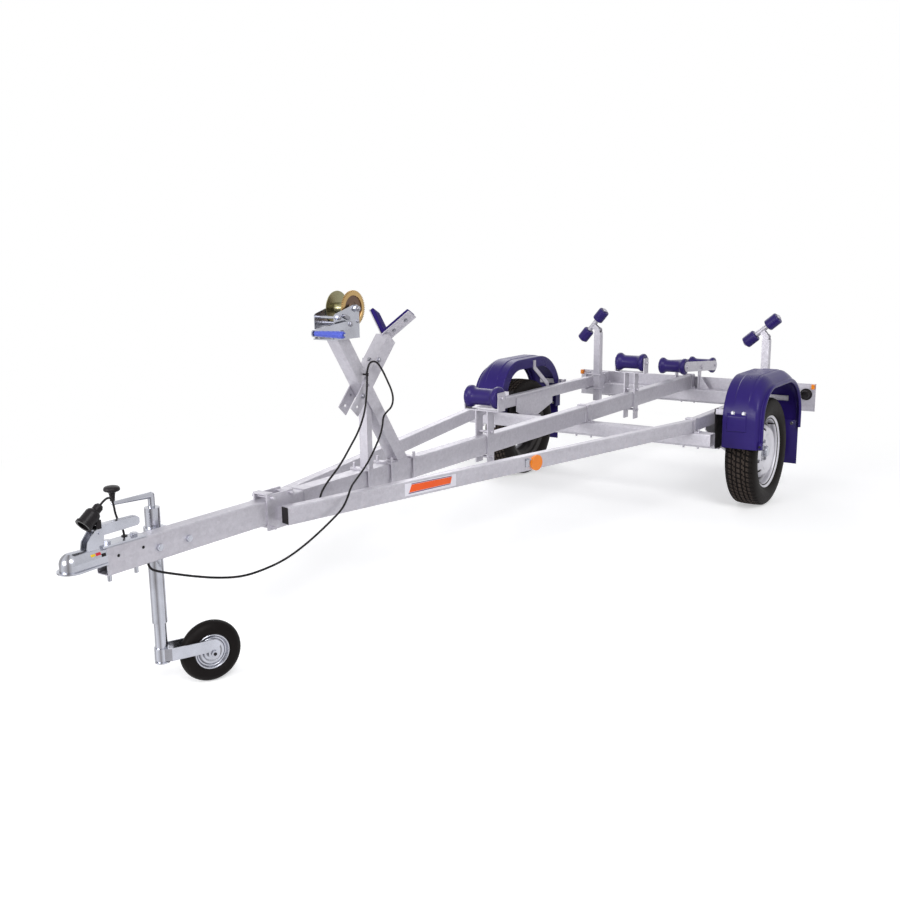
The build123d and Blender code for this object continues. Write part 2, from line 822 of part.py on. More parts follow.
leg = block(
    (rocker_pivot_x - leg_half_width, leg_outer_y - leg_thickness, frame_underside),
    (rocker_pivot_x + leg_half_width, leg_outer_y, rocker_pivot_z),
)
leg += rod_y(rocker_pivot_x, rocker_pivot_z, leg_outer_y - leg_thickness, leg_outer_y, 2 * leg_half_width)
leg -= rod_y(
    rocker_pivot_x,
    rocker_pivot_z,
    leg_outer_y - leg_thickness - 1,
    leg_outer_y + 1,
    pivot_tube_diameter + 2 * run_gap,
)
leg += plate_yz(
    [
        (leg_outer_y, frame_underside),
        (leg_outer_y + gusset_reach, frame_underside),
        (leg_outer_y, frame_underside + gusset_rise),
    ],
    rocker_pivot_x - leg_thickness / 2,
    rocker_pivot_x + leg_thickness / 2,
)
save("rocker_legs", leg + flip(leg))

# ------------------------------------------------------------ side supports
post_size = 40.0
post_wall = 3.0
post_x = -650.0
post_y = rail_y - rail_width / 2 - post_size / 2 - seat_gap
post_bottom = 352.0
post_top = 772.0
cradle_pivot_z = 786.0
cradle_bolt_diameter = 14.0
post_clamp_half = 34.0
post_clamp_plate = 6.0
post_clamp_bolt_z = (frame_underside - 12.0, rail_top + 12.0)
head_sheet = 4.0
head_half_width = 19.0
side_roller_diameter = 66.0
side_roller_length = 74.0
side_roller_middle = 78.0
side_axle_rise = 46.0
side_axle_diameter = 16.0
left_cradle_lean = 40.0
right_cradle_lean = 50.0

post = block(
    (post_x - post_size / 2, post_y - post_size / 2, post_bottom),
    (post_x + post_size / 2, post_y + post_size / 2, post_top),
)
post -= block(
    (post_x - post_size / 2 + post_wall, post_y - post_size / 2 + post_wall, post_bottom - 1),
    (post_x + post_size / 2 - post_wall, post_y + post_size / 2 - post_wall, post_top + 1),
)
outer_plate_y = rail_outer_y + seat_gap
post += block(
    (post_x - post_clamp_half, outer_plate_y, post_clamp_bolt_z[0] - 12),
    (post_x + post_clamp_half, outer_plate_y + post_clamp_plate, post_clamp_bolt_z[1] + 12),
)
post += block(
    (post_x - post_clamp_half, post_y - post_size / 2 - post_clamp_plate, post_clamp_bolt_z[0] - 12),
    (post_x + post_clamp_half, post_y - post_size / 2, post_clamp_bolt_z[1] + 12),
)
for bolt_x in (post_x - 27, post_x + 27):
    for bolt_z in post_clamp_bolt_z:
        post += rod_y(
            bolt_x,
            bolt_z,
            post_y - post_size / 2 - post_clamp_plate - 8,
            outer_plate_y + post_clamp_plate + 8,
            clamp_bolt_diameter,
        )
# Two ears on the post's top carry the cradle's pivot bolt.
ear_gap = 5.0
ear_x = post_size / 2 - post_wall
for side in (1, -1):
    x_from = min(post_x + side * ear_x, post_x + side * post_size / 2)
    ear = block((x_from, post_y - 16, post_top), (x_from + post_wall, post_y + 16, cradle_pivot_z))
    ear += rod_x(post_y, cradle_pivot_z, x_from, x_from + post_wall, 32)
    post += ear
post += rod_x(post_y, cradle_pivot_z, post_x - ear_x - 1, post_x + ear_x + 1, cradle_bolt_diameter)
save("side_posts", post + flip(post))
ear_reach = ear_x - ear_gap


def side_rollers():
    """The two rollers of one cradle, on an axle along Y above the pivot at the origin."""
    pair = Part()
    for side in (1, -1):
        roller = rod_y(
            0,
            side_axle_rise,
            side * side_roller_middle - side_roller_length / 2,
            side * side_roller_middle + side_roller_length / 2,
            side_roller_diameter,
        )
        roller = chamfer(roller.edges().filter_by(GeomType.CIRCLE), 5)
        bore = rod_y(0, side_axle_rise, -200, 200, side_axle_diameter + 2 * run_gap)
        pair += roller - bore
    return pair


def side_cradle():
    """The rocking head of a side support, with its pivot at the origin."""
    head = Part()
    for side in (1, -1):
        x_from = min(side * (ear_reach - head_sheet), side * ear_reach)
        x_to = x_from + head_sheet
        cheek = block((x_from, -head_half_width + 4, 0), (x_to, head_half_width - 4, side_axle_rise))
        cheek += rod_x(0, 0, x_from, x_to, 2 * head_half_width - 8)
        cheek -= rod_x(0, 0, x_from - 1, x_to + 1, cradle_bolt_diameter + 2 * run_gap)
        head += cheek
    inner_end = side_roller_middle - side_roller_length / 2 - 3
    sleeve = rod_y(0, side_axle_rise, -inner_end, inner_end, 30)
    head += sleeve
    outer_end = side_roller_middle + side_roller_length / 2
    head += rod_y(0, side_axle_rise, -outer_end - 8, outer_end + 8, side_axle_diameter)
    for side in (1, -1):
        cap_from = side * (outer_end + 2)
        cap_to = side * (outer_end + 8)
        head += rod_y(0, side_axle_rise, min(cap_from, cap_to), max(cap_from, cap_to), 28)
    return head


cradle_shape = side_cradle()
roller_pair = side_rollers()
for side_name, side, lean in (("left", 1, left_cradle_lean), ("right", -1, right_cradle_lean)):
    place = Pos(post_x, side * post_y, cradle_pivot_z) * Rot(lean, 0, 0)
    save(side_name + "_cradle", place * cradle_shape)
    save(side_name + "_side_rollers", place * roller_pair)

# --------------------------------------------------------------- winch stand
# A channel turned upside down over the beam carries two crossing arms and a
# strut. The winch arm leans forward, the bow arm leans back and ends in a V.
arm_foot_x = 2071.0
saddle_behind = 81.0
saddle_ahead = 546.0
saddle_x = (arm_foot_x - saddle_behind, arm_foot_x + saddle_ahead)
saddle_thickness = 3.0
saddle_leg = 54.0
saddle_top = beam_top + seat_gap + saddle_thickness
saddle_half = beam_width / 2 + seat_gap + saddle_thickness
u_bolt_ahead = (212.0, 78.0, -58.0)
u_bolt_x = [arm_foot_x + ahead for ahead in u_bolt_ahead]
u_bolt_diameter = 10.0
u_bolt_rise = 24.0
clamp_bar_width = 26.0
clamp_bar_thickness = 6.0

saddle = block(
    (saddle_x[0], -saddle_half, saddle_top - saddle_leg),
    (saddle_x[1], saddle_half, saddle_top),
)
saddle -= block(
    (saddle_x[0] - 1, -beam_width / 2 - seat_gap, saddle_top - saddle_leg - 1),
    (saddle_x[1] + 1, beam_width / 2 + seat_gap, beam_top + seat_gap),
)
save("saddle", saddle)

# Three U-bolts round the beam, each drawn up through a bar over the saddle.
u_bolt_y = saddle_half + seat_gap + u_bolt_diameter / 2
u_bolt_bottom = frame_underside - seat_gap - u_bolt_diameter / 2
bar_bottom = saddle_top + seat_gap
saddle_clamps = Part()
for bolt_x in u_bolt_x:
    hoop = rod_y(bolt_x, u_bolt_bottom, -u_bolt_y, u_bolt_y, u_bolt_diameter)
    for side in (1, -1):
        hoop += rod_z(bolt_x, side * u_bolt_y, u_bolt_bottom, saddle_top + u_bolt_rise, u_bolt_diameter)
        hoop += Pos(bolt_x, side * u_bolt_y, u_bolt_bottom) * Sphere(u_bolt_diameter / 2)
    bar_reach = u_bolt_y + u_bolt_diameter / 2 + 4
    hoop += block(
        (bolt_x - clamp_bar_width / 2, -bar_reach, bar_bottom),
        (bolt_x + clamp_bar_width / 2, bar_reach, bar_bottom + clamp_bar_thickness),
    )
    saddle_clamps += hoop
save("saddle_clamps", saddle_clamps)

# The winch arm: a square tube cut level at its foot and at its top.
arm_width = 50.0
arm_foot_rise = 4.2
arm_foot = (arm_foot_x, saddle_top + arm_foot_rise)
arm_angle = 56.0
arm_wall = 3.0
arm_height = 474.0
platform_z = arm_foot[1] + arm_height
arm_bottom = bar_bottom + clamp_bar_thickness + seat_gap
arm_cos = math.cos(math.radians(arm_angle))
arm_sin = math.sin(math.radians(arm_angle))


def winch_arm_x(z, across):
    """x on the winch arm at height z, a distance across from its middle line."""
    return arm_foot[0] + (z - arm_foot[1]) * arm_cos / arm_sin + across / arm_sin


def winch_arm_corners(width, low, high):
    """Side view of a bar along the winch arm between two heights."""
    half = width / 2
    return [
        (winch_arm_x(low, -half), low),
        (winch_arm_x(low, half), low),
        (winch_arm_x(high, half), high),
        (winch_arm_x(high, -half), high),
    ]


winch_arm = plate_xz(
    winch_arm_corners(arm_width, bar_bottom, platform_z),
    -arm_width / 2,
    arm_width / 2,
)
winch_arm -= plate_xz(
    winch_arm_corners(arm_width - 2 * arm_wall, bar_bottom - 1, platform_z + 1),
    -arm_width / 2 + arm_wall,
    arm_width / 2 - arm_wall,
)
for bolt_x in u_bolt_x:
    winch_arm -= block(
        (bolt_x - clamp_bar_width / 2 - 1, -100, bar_bottom - 1),
        (bolt_x + clamp_bar_width / 2 + 1, 100, arm_bottom),
    )
save("winch_arm", winch_arm)

# The strut stands upright under the winch arm's front face.
strut_ahead = 169.0
strut_depth = 28.0
strut_x = (arm_foot_x + strut_ahead, arm_foot_x + strut_ahead + strut_depth)
strut_half = 18.0
strut = plate_xz(
    [
        (strut_x[0], bar_bottom),
        (strut_x[1], bar_bottom),
        (strut_x[1], arm_foot[1] + (strut_x[1] - arm_foot[0] - arm_width / 2 / arm_sin) * arm_sin / arm_cos - 1),
        (strut_x[0], arm_foot[1] + (strut_x[0] - arm_foot[0] - arm_width / 2 / arm_sin) * arm_sin / arm_cos - 1),
    ],
    -strut_half,
    strut_half,
)
strut -= plate_xz(
    [
        (strut_x[0] + arm_wall, bar_bottom - 1),
        (strut_x[1] - arm_wall, bar_bottom - 1),
        (strut_x[1] - arm_wall, platform_z),
        (strut_x[0] + arm_wall, platform_z),
    ],
    -strut_half + arm_wall,
    strut_half - arm_wall,
)
save("winch_strut", strut)

# The bow arm: two side plates past the winch arm, joined by a web above it.
bow_top_ahead = 54.0
bow_top_rise = 454.0
bow_end_ahead = 276.0
bow_end_rise = 215.0
bow_arm_top = (arm_foot_x + bow_top_ahead, arm_foot[1] + bow_top_rise)
bow_arm_end = (arm_foot_x + bow_end_ahead, arm_foot[1] + bow_end_rise)
bow_arm_width = 50.0
bow_plate = 4.0
bow_web_length = 168.0
bow_inner = arm_width / 2 + seat_gap
bow_hole_diameter = 11.0
bow_holes = (24.0, 70.0, 116.0)
bow_length = math.dist(bow_arm_top, bow_arm_end)
bow_along = ((bow_arm_end[0] - bow_arm_top[0]) / bow_length, (bow_arm_end[1] - bow_arm_top[1]) / bow_length)
bow_across = (-bow_along[1], bow_along[0])


def on_bow_arm(along, across):
    """The (x, z) place a distance down the bow arm from its top, and across it."""
    return (
        bow_arm_top[0] + along * bow_along[0] + across * bow_across[0],
        bow_arm_top[1] + along * bow_along[1] + across * bow_across[1],
    )


bow_half = bow_arm_width / 2
bow_side = plate_xz(
    [
        on_bow_arm(0, bow_half),
        on_bow_arm(bow_length, bow_half),
        on_bow_arm(bow_length, -bow_half),
        on_bow_arm(0, -bow_half),
    ],
    bow_inner,
    bow_inner + bow_plate,
)
bow_web = plate_xz(
    [
        on_bow_arm(0, bow_half),
        on_bow_arm(bow_web_length, bow_half),
        on_bow_arm(bow_web_length, bow_half - bow_plate),
        on_bow_arm(0, bow_half - bow_plate),
    ],
    -bow_inner,
    bow_inner,
)
# The V: two wings, drawn in the plane that holds Y and the wings' rise.
wing_rise_angle = 119.0
wing_half = 89.0
wing_rise = 95.0
wing_plate = 4.0
pad_thickness = 13.0
wing_plane = Plane(
    origin=(bow_arm_top[0] + 2, 0, bow_arm_top[1] + 5),
    x_dir=(0, 1, 0),
    z_dir=(math.sin(math.radians(wing_rise_angle)), 0, -math.cos(math.radians(wing_rise_angle))),
)


def wing_strip(inset, thickness, width, start):
    """A V-shaped strip: its back lies inset inside the V's line."""
    slant = math.atan2(wing_rise, wing_half)
    shift = inset / math.cos(slant)
    depth = thickness / math.cos(slant)
    trim = (inset + thickness) * math.sin(slant)
    points = [
        (wing_half - inset * math.sin(slant), wing_rise + inset * math.cos(slant)),
        (0, shift),
        (-wing_half + inset * math.sin(slant), wing_rise + inset * math.cos(slant)),
        (-wing_half + trim, wing_rise + (inset + thickness) * math.cos(slant)),
        (0, shift + depth),
        (wing_half - trim, wing_rise + (inset + thickness) * math.cos(slant)),
    ]
    face = make_face(Polyline(*points, close=True))
    return extrude(wing_plane * Pos(0, 0, start) * face, width)


bow_wings = wing_strip(-wing_plate, wing_plate, bow_arm_width, -bow_half)
bow_arm = bow_side + flip(bow_side) + bow_web
bow_arm -= wing_strip(0, 60.0, 2 * bow_arm_width, -bow_arm_width)
bow_arm += bow_wings
for along in bow_holes:
    hole_x, hole_z = on_bow_arm(bow_length - along, 0)
    bow_arm -= rod_y(hole_x, hole_z, -50, 50, bow_hole_diameter)
save("bow_arm", bow_arm)

pad_margin = 1.5
bow_pads = wing_strip(seat_gap, pad_thickness, bow_arm_width - 2 * pad_margin, -bow_half + pad_margin)
save("bow_pads", bow_pads)

# --------------------------------------------------------------------- winch
# A drum with a toothed wheel turns on a bolt between two side plates. The
# crank's pinion drives the toothed wheel.
drum_ahead = 271.0
drum_rise = 100.0
drum_x = arm_foot_x + drum_ahead
drum_z = platform_z + drum_rise
tooth_module = 2.0
wheel_teeth = 60
pinion_teeth = 10
pinion_drop = 49.0
gear_distance = tooth_module * (wheel_teeth + pinion_teeth) / 2
pinion_x = drum_x + math.sqrt(gear_distance**2 - pinion_drop**2)
pinion_z = drum_z - pinion_drop
winch_half = 45.0
winch_plate = 3.0
winch_floor = 4.0
winch_base_z = platform_z + seat_gap
winch_pin_diameter = 12.0
pinion_shaft_diameter = 16.0
shaft_hole_diameter = pinion_shaft_diameter + 2 * run_gap
gear_y = (28.0, 35.0)
barrel_diameter = 38.0
barrel_half = 40.0
flange_diameter = 118.0
flange_thickness = 2.5
tie_ahead = 95.0
tie_drop = 25.0
tie_x = drum_x + tie_ahead
tie_z = drum_z - tie_drop
tie_diameter = 9.0
nut_width = 17.0
nut_height = 8.0


def toothed_disc(teeth, addendum, dedendum, tooth_share, turn):
    """A straight-toothed disc in the XZ plane, as a closed line of (x, z) corners."""
    pitch_radius = tooth_module * teeth / 2
    step = 2 * math.pi / teeth
    corners = []
    for index in range(teeth):
        middle = math.radians(turn) + index * step
        for radius, share in (
            (pitch_radius - dedendum, -tooth_share * 1.35),
            (pitch_radius + addendum, -tooth_share * 0.55),
            (pitch_radius + addendum, tooth_share * 0.55),
            (pitch_radius - dedendum, tooth_share * 1.35),
        ):
            angle = middle + share * step / 2
            corners.append((radius * math.cos(angle), radius * math.sin(angle)))
    return corners


# The pinion has a tooth on the line between the two centres, the wheel a gap.
line_angle = math.degrees(math.atan2(pinion_z - drum_z, pinion_x - drum_x))
wheel_turn = line_angle + 180.0 / wheel_teeth
pinion_turn = line_angle + 180.0
tooth_addendum = 1.6
tooth_dedendum = 2.4
tooth_share = 0.42

winch_rear_x = drum_x - 16.0
winch_front_x = drum_x + 114.0
side_corners = [
    (winch_rear_x, winch_base_z),
    (winch_front_x, winch_base_z),
    (winch_front_x, drum_z - 18),
    (winch_front_x - 7, drum_z - 12),
    (drum_x + 18, drum_z + 13),
    (drum_x - 6, drum_z + 13),
    (winch_rear_x, drum_z + 4),
]
winch_side = plate_xz(side_corners, winch_half - winch_plate, winch_half)
winch_side -= rod_y(pinion_x, pinion_z, 0, 60, shaft_hole_diameter)
winch_frame = winch_side + flip(winch_side)
winch_frame += block(
    (winch_rear_x, -winch_half, winch_base_z),
    (winch_front_x + 6, winch_half, winch_base_z + winch_floor),
)
winch_frame += rod_y(drum_x, drum_z, -winch_half - nut_height, winch_half + nut_height, winch_pin_diameter)
winch_frame += rod_y(tie_x, tie_z, -winch_half - nut_height, winch_half + nut_height, tie_diameter)
for nut_x, nut_z, across in ((drum_x, drum_z, nut_width), (tie_x, tie_z, nut_width * 0.8)):
    for side in (1, -1):
        middle_y = side * (winch_half + nut_height / 2 - 1)
        winch_frame += Pos(nut_x, middle_y, nut_z) * Rot(90, 0, 0) * extrude(
            RegularPolygon(across / math.sqrt(3), 6), nut_height / 2 - 1, both=True
        )
save("winch_frame", winch_frame)

drum_bore = winch_pin_diameter + 2 * run_gap
drum = rod_y(0, 0, -barrel_half, barrel_half, barrel_diameter)
drum += rod_y(0, 0, -barrel_half, -barrel_half + flange_thickness, flange_diameter)
drum += rod_y(0, 0, gear_y[0] - flange_thickness, gear_y[0], flange_diameter * 0.8)
gear_face = plate_xz(
    toothed_disc(wheel_teeth, tooth_addendum, tooth_dedendum, tooth_share, wheel_turn),
    gear_y[0],
    gear_y[1],
)
drum += gear_face
drum -= rod_y(0, 0, -60, 60, drum_bore)
save("winch_drum", Pos(drum_x, 0, drum_z) * drum)

# The crank: pinion and shaft, an arm on the left side and a pin for the grip.
crank_reach = 181.0
crank_fall = 5.6
crank_arm_y = (56.0, 61.0)
crank_arm_width = 25.0
grip_root_y = 64.0
grip_end_y = 184.0
grip_pin_diameter = 9.0
grip_root_diameter = 18.0
grip_end_diameter = 25.0
crank_end_x = pinion_x + crank_reach * math.cos(math.radians(crank_fall))
crank_end_z = pinion_z - crank_reach * math.sin(math.radians(crank_fall))

crank = rod_y(pinion_x, pinion_z, -winch_half - 12, crank_arm_y[1], pinion_shaft_diameter)
crank += Pos(pinion_x, 0, pinion_z) * plate_xz(
    toothed_disc(pinion_teeth, tooth_addendum, tooth_dedendum, tooth_share, pinion_turn),
    gear_y[0] - 1.5,
    gear_y[1] + 1.5,
)
crank_arm = block(
    (0, crank_arm_y[0], -crank_arm_width / 2),
    (crank_reach, crank_arm_y[1], crank_arm_width / 2),
)
for end_x in (0, crank_reach):
    crank_arm += rod_y(end_x, 0, crank_arm_y[0], crank_arm_y[1], crank_arm_width)
crank += Pos(pinion_x, 0, pinion_z) * Rot(0, crank_fall, 0) * crank_arm
crank += rod_y(crank_end_x, crank_end_z, crank_arm_y[0], grip_end_y + 4, grip_pin_diameter)
save("winch_crank", crank)

grip_hole = grip_pin_diameter + 2 * run_gap
grip = spin_y(
    [
        (grip_hole / 2, grip_root_y),
        (grip_root_diameter / 2, grip_root_y),
        (grip_root_diameter / 2 + 1, grip_root_y + 12),
        (grip_end_diameter / 2, grip_end_y - 24),
        (grip_end_diameter / 2, grip_end_y - 6),
        (grip_end_diameter / 2 - 3, grip_end_y),
        (grip_hole / 2, grip_end_y),
    ],
    crank_end_x,
    0,
    crank_end_z,
)
save("winch_grip", grip)

# ------------------------------------------------------------------- coupler
# A pressed coupling head for a 50 mm ball: a strap over the beam's nose, a
# body in front of it and a dome over the ball, worked by a lever on top.
ball_diameter = 50.0
dome_radius = 31.0
lip_radius = 38.0
lip_height = 5.0
socket_x = coupler_tip_x - lip_radius
socket_z = beam_top - 22.5
head_bottom = socket_z - 22.0
coupler_strap_x = beam_nose_x - 134.0
coupler_strap_half = 24.0
coupler_strap_thickness = 6.0
coupler_strap_bottom = beam_top + seat_gap
coupler_strap_top = coupler_strap_bottom + coupler_strap_thickness
coupler_body_x = beam_nose_x + seat_gap
coupler_body_half = 27.0
bolt_tail_z = frame_underside - 22.5



def head_section(x, half, top):
    """The body's section: a flat foot, upright sides and a round top."""
    middle = top - half
    outline = [
        Line((-half, head_bottom), (half, head_bottom)),
        Line((half, head_bottom), (half, middle)),
        ThreePointArc((half, middle), (0, top), (-half, middle)),
        Line((-half, middle), (-half, head_bottom)),
    ]
    return Pos(x, 0, 0) * (Plane.YZ * make_face(outline))


body = loft(
    [
        head_section(coupler_body_x, coupler_body_half, coupler_strap_top),
        head_section(socket_x, dome_radius, socket_z + dome_radius),
    ],
    ruled=True,
)
lip_rear_half = coupler_body_half + 3
body += plate_xy(
    [
        (coupler_body_x, -lip_rear_half),
        (socket_x, -lip_radius),
        (socket_x, lip_radius),
        (coupler_body_x, lip_rear_half),
    ],
    head_bottom,
    head_bottom + lip_height,
)
body -= block(
    (coupler_body_x + 6, -coupler_body_half + 5, head_bottom - 1),
    (socket_x - 38, coupler_body_half - 5, socket_z + 12),
)
coupler = body + block(
    (coupler_strap_x, -coupler_strap_half, coupler_strap_bottom),
    (coupler_body_x + 10, coupler_strap_half, coupler_strap_top),
)
coupler += rod_z(socket_x, 0, head_bottom, socket_z, 2 * dome_radius)
dome = Pos(socket_x, 0, socket_z) * Sphere(dome_radius)
dome -= block((socket_x - 50, -50, socket_z - 50), (socket_x + 50, 50, socket_z))
coupler += dome
coupler += rod_z(socket_x, 0, head_bottom, head_bottom + lip_height, 2 * lip_radius)
coupler -= Pos(socket_x, 0, socket_z) * Sphere(ball_diameter / 2 + seat_gap)
coupler -= rod_z(socket_x, 0, head_bottom - 1, socket_z, ball_diameter + 2 * seat_gap)
for bolt_x in coupler_bolt_x:
    coupler += rod_z(bolt_x, 0, bolt_tail_z, coupler_strap_top + 4, coupler_bolt_diameter)
    coupler += Pos(bolt_x, 0, coupler_strap_top) * extrude(RegularPolygon(11, 6), 8)
coupler -= rod_z(
    top_cable_hole[0],
    top_cable_hole[1],
    coupler_strap_bottom - 1,
    coupler_strap_top + 1,
    cable_hole_diameter,
)

# Two cheeks on the body hold the lever's pivot.
cheek_inner = 12.0
cheek_thickness = 4.0
pivot_x = beam_nose_x + 12.0
pivot_z = coupler_strap_top + 37.2
lever_pin_diameter = 8.0
cheek_corners = [
    (pivot_x - 10, coupler_strap_top - 10),
    (pivot_x + 44, coupler_strap_top - 10),
    (pivot_x + 38, pivot_z - 18),
    (pivot_x + 14, pivot_z + 10),
    (pivot_x - 6, pivot_z + 12),
    (pivot_x - 14, pivot_z - 2),
]
cheek = plate_xz(cheek_corners, cheek_inner, cheek_inner + cheek_thickness)
coupler += cheek + flip(cheek)
coupler += rod_y(
    pivot_x,
    pivot_z,
    -cheek_inner - cheek_thickness - 3,
    cheek_inner + cheek_thickness + 3,
    lever_pin_diameter,
)
save("coupler", coupler)

lever_half = 11.0
lever_wall = 2.5
lever_side = [
    (pivot_x + 8, pivot_z - 10),
    (pivot_x + 10, pivot_z + 6),
    (pivot_x - 14, pivot_z + 20),
    (pivot_x - 130, pivot_z + 18),
    (pivot_x - 137, pivot_z + 12),
    (pivot_x - 137, pivot_z - 2),
    (pivot_x - 130, pivot_z - 8),
    (pivot_x - 20, pivot_z - 10),
]
lever = plate_xz(lever_side, -lever_half, lever_half)
lever -= plate_xz(
    [
        (pivot_x - 133, pivot_z - 16),
        (pivot_x - 133, pivot_z + 10),
        (pivot_x - 128, pivot_z + 14.5),
        (pivot_x - 16, pivot_z + 16.5),
        (pivot_x + 17, pivot_z + 2),
        (pivot_x + 17, pivot_z - 16),
    ],
    -lever_half + lever_wall,
    lever_half - lever_wall,
)
lever -= rod_y(pivot_x, pivot_z, -20, 20, lever_pin_diameter + 2 * run_gap)
save("coupler_lever", lever)

# ---------------------------------------------------------------------- plug
plug_rear = (pivot_x - 20, pivot_z + 71)
plug_mouth = (pivot_x + 38, pivot_z + 26)
plug_y = 0.0
plug_diameter = 43.0
plug_rim_diameter = 49.0
plug_neck_diameter = 26.0
plug_length = math.dist(plug_rear, plug_mouth)
plug_tilt = math.degrees(math.atan2(plug_mouth[1] - plug_rear[1], plug_mouth[0] - plug_rear[0]))
plug_profile = [
    (0, 0),
    (plug_neck_diameter / 2 - 4, 0),
    (plug_neck_diameter / 2, 6),
    (plug_neck_diameter / 2, 20),
    (plug_diameter / 2 - 2, 26),
    (plug_diameter / 2, 32),
    (plug_diameter / 2, plug_length - 10),
    (plug_rim_diameter / 2, plug_length - 8),
    (plug_rim_diameter / 2, plug_length),
    (plug_diameter / 2 - 4, plug_length),
    (plug_diameter / 2 - 4, plug_length - 14),
    (0, plug_length - 14),
]
plug_face = make_face(Polyline(*plug_profile, close=True))
plug_shape = Pos(plug_rear[0], plug_y, plug_rear[1]) * Rot(0, -plug_tilt + 90, 0) * Rot(90, 0, 0) * revolve(plug_face, Axis.Y)
clip_x = (pivot_x - 8, pivot_x + 6)
clip_z = (pivot_z + 12 + seat_gap, pivot_z + 23, pivot_z + 36)
clip_half = cheek_inner + cheek_thickness
plug_clip = block((clip_x[0], -clip_half, clip_z[0]), (clip_x[1], clip_half, clip_z[2]))
plug_clip -= block((clip_x[0] - 1, -cheek_inner, clip_z[0] - 1), (clip_x[1] + 1, cheek_inner, clip_z[1]))
plug = plug_shape + plug_clip
save("plug", plug)

# ---------------------------------------------------------------------- jack
# The jack is clamped to the right face of the beam. Its outer tube is fixed,
# the inner tube slides, and the fork with its wheel swings round the tube.
jack_outer_diameter = 45.0
jack_inner_diameter = 36.9
jack_bore_diameter = jack_inner_diameter + 2 * run_gap
jack_outer_z = (222.0, beam_top + 52.5)
jack_cap_thickness = 6.0
jack_inner_z = (99.0, 480.0)
jack_clamp_z = (frame_underside + 4.5, beam_top - 5.5)
jack_clamp_half = 74.0
jack_clamp_plate = 6.0
jack_sleeve_diameter = 57.0
jack_nut = 19.0
clamp_face = -beam_width / 2 - seat_gap

jack_clamp = block(
    (jack_x - jack_clamp_half, clamp_face - jack_clamp_plate, jack_clamp_z[0]),
    (jack_x + jack_clamp_half, clamp_face, jack_clamp_z[1]),
)
jack_clamp += rod_z(jack_x, jack_y, jack_clamp_z[0], jack_clamp_z[1], jack_sleeve_diameter)
jack_clamp += block(
    (jack_x - jack_sleeve_diameter / 2, jack_y, jack_clamp_z[0]),
    (jack_x + jack_sleeve_diameter / 2, clamp_face - 1, jack_clamp_z[1]),
)
for side in (-1, 1):
    bolt_x = jack_x + side * jack_bolt_spacing / 2
    jack_clamp += rod_y(bolt_x, jack_bolt_z, clamp_face - jack_clamp_plate - 12, beam_width / 2 + 9, jack_bolt_diameter)
    for nut_y in (clamp_face - jack_clamp_plate - 8, beam_width / 2 + seat_gap):
        nut = Rot(90, 0, 0) * extrude(RegularPolygon(jack_nut / math.sqrt(3), 6), -8)
        jack_clamp += Pos(bolt_x, nut_y, jack_bolt_z) * nut
jack_clamp -= rod_z(jack_x, jack_y, jack_clamp_z[0] - 1, jack_clamp_z[1] + 1, jack_outer_diameter + 2 * seat_gap)
save("jack_clamp", jack_clamp)

# The outer tube with its cap and, on top, the crank that raises the wheel.
crank_z = jack_outer_z[1] + 36.0
crank_root = 19.0
crank_end = 11.0
crank_heading = -6.0
crank_length = 124.0
knob_diameter = 46.0
knob_z = crank_z + 41.0
jack_tube = rod_z(jack_x, jack_y, jack_outer_z[0], jack_outer_z[1], jack_outer_diameter)
jack_tube -= rod_z(jack_x, jack_y, jack_outer_z[0] - 1, jack_outer_z[1] - jack_cap_thickness, jack_bore_diameter)
jack_tube += rod_z(jack_x, jack_y, jack_outer_z[1] - 1, crank_z, 20.0)
jack_crank_arm = Pos(crank_length / 2, 0, crank_z) * Rot(0, 90, 0) * Cone(crank_root / 2, crank_end / 2, crank_length)
jack_crank_arm += Pos(0, 0, crank_z) * Sphere(10.0)
jack_crank_arm += Pos(crank_length, 0, crank_z) * Sphere(crank_end / 2)
jack_crank_arm += rod_z(crank_length, 0, crank_z, knob_z - 4, 8.0)
jack_tube += Pos(jack_x, jack_y, 0) * Rot(0, 0, crank_heading) * jack_crank_arm
save("jack_tube", jack_tube)

knob_profile = [
    (4.3, crank_z + 8),
    (7, crank_z + 8),
    (8, crank_z + 24),
    (10, knob_z - 9),
    (knob_diameter / 2 - 4, knob_z - 6),
    (knob_diameter / 2, knob_z - 1),
    (knob_diameter / 2 - 1.5, knob_z + 5),
    (knob_diameter / 2 - 8, knob_z + 9),
    (0, knob_z + 10.5),
    (0, knob_z - 3.7),
    (4.3, knob_z - 3.7),
]
knob_face = Plane.XZ * make_face(Polyline(*knob_profile, close=True))
knob = revolve(knob_face, Axis.Z)
save("jack_knob", Pos(jack_x, jack_y, 0) * Rot(0, 0, crank_heading) * Pos(crank_length, 0, 0) * knob)

washer_diameter = 45.0
jack_inner = rod_z(jack_x, jack_y, jack_inner_z[0], jack_inner_z[1], jack_inner_diameter)
jack_inner -= rod_z(jack_x, jack_y, jack_inner_z[0] + 20, jack_inner_z[1] + 1, jack_inner_diameter - 6)
jack_inner += rod_z(jack_x, jack_y, jack_inner_z[0] - 4, jack_inner_z[0], washer_diameter)
save("jack_inner", jack_inner)

# Fork, built pointing backwards along -X and then swung to its resting place.
fork_heading = -22.0
fork_length = 150.0
fork_z = (104.0, 142.0)
fork_plate = 4.0
fork_inner = 30.0
fork_sleeve_diameter = 45.0
jockey_diameter = 194.0
jockey_width = 46.0
jockey_rim_diameter = 112.0
jockey_z = jockey_diameter / 2
jockey_pin_diameter = 12.0
sleeve_bore = jack_inner_diameter + 2 * run_gap

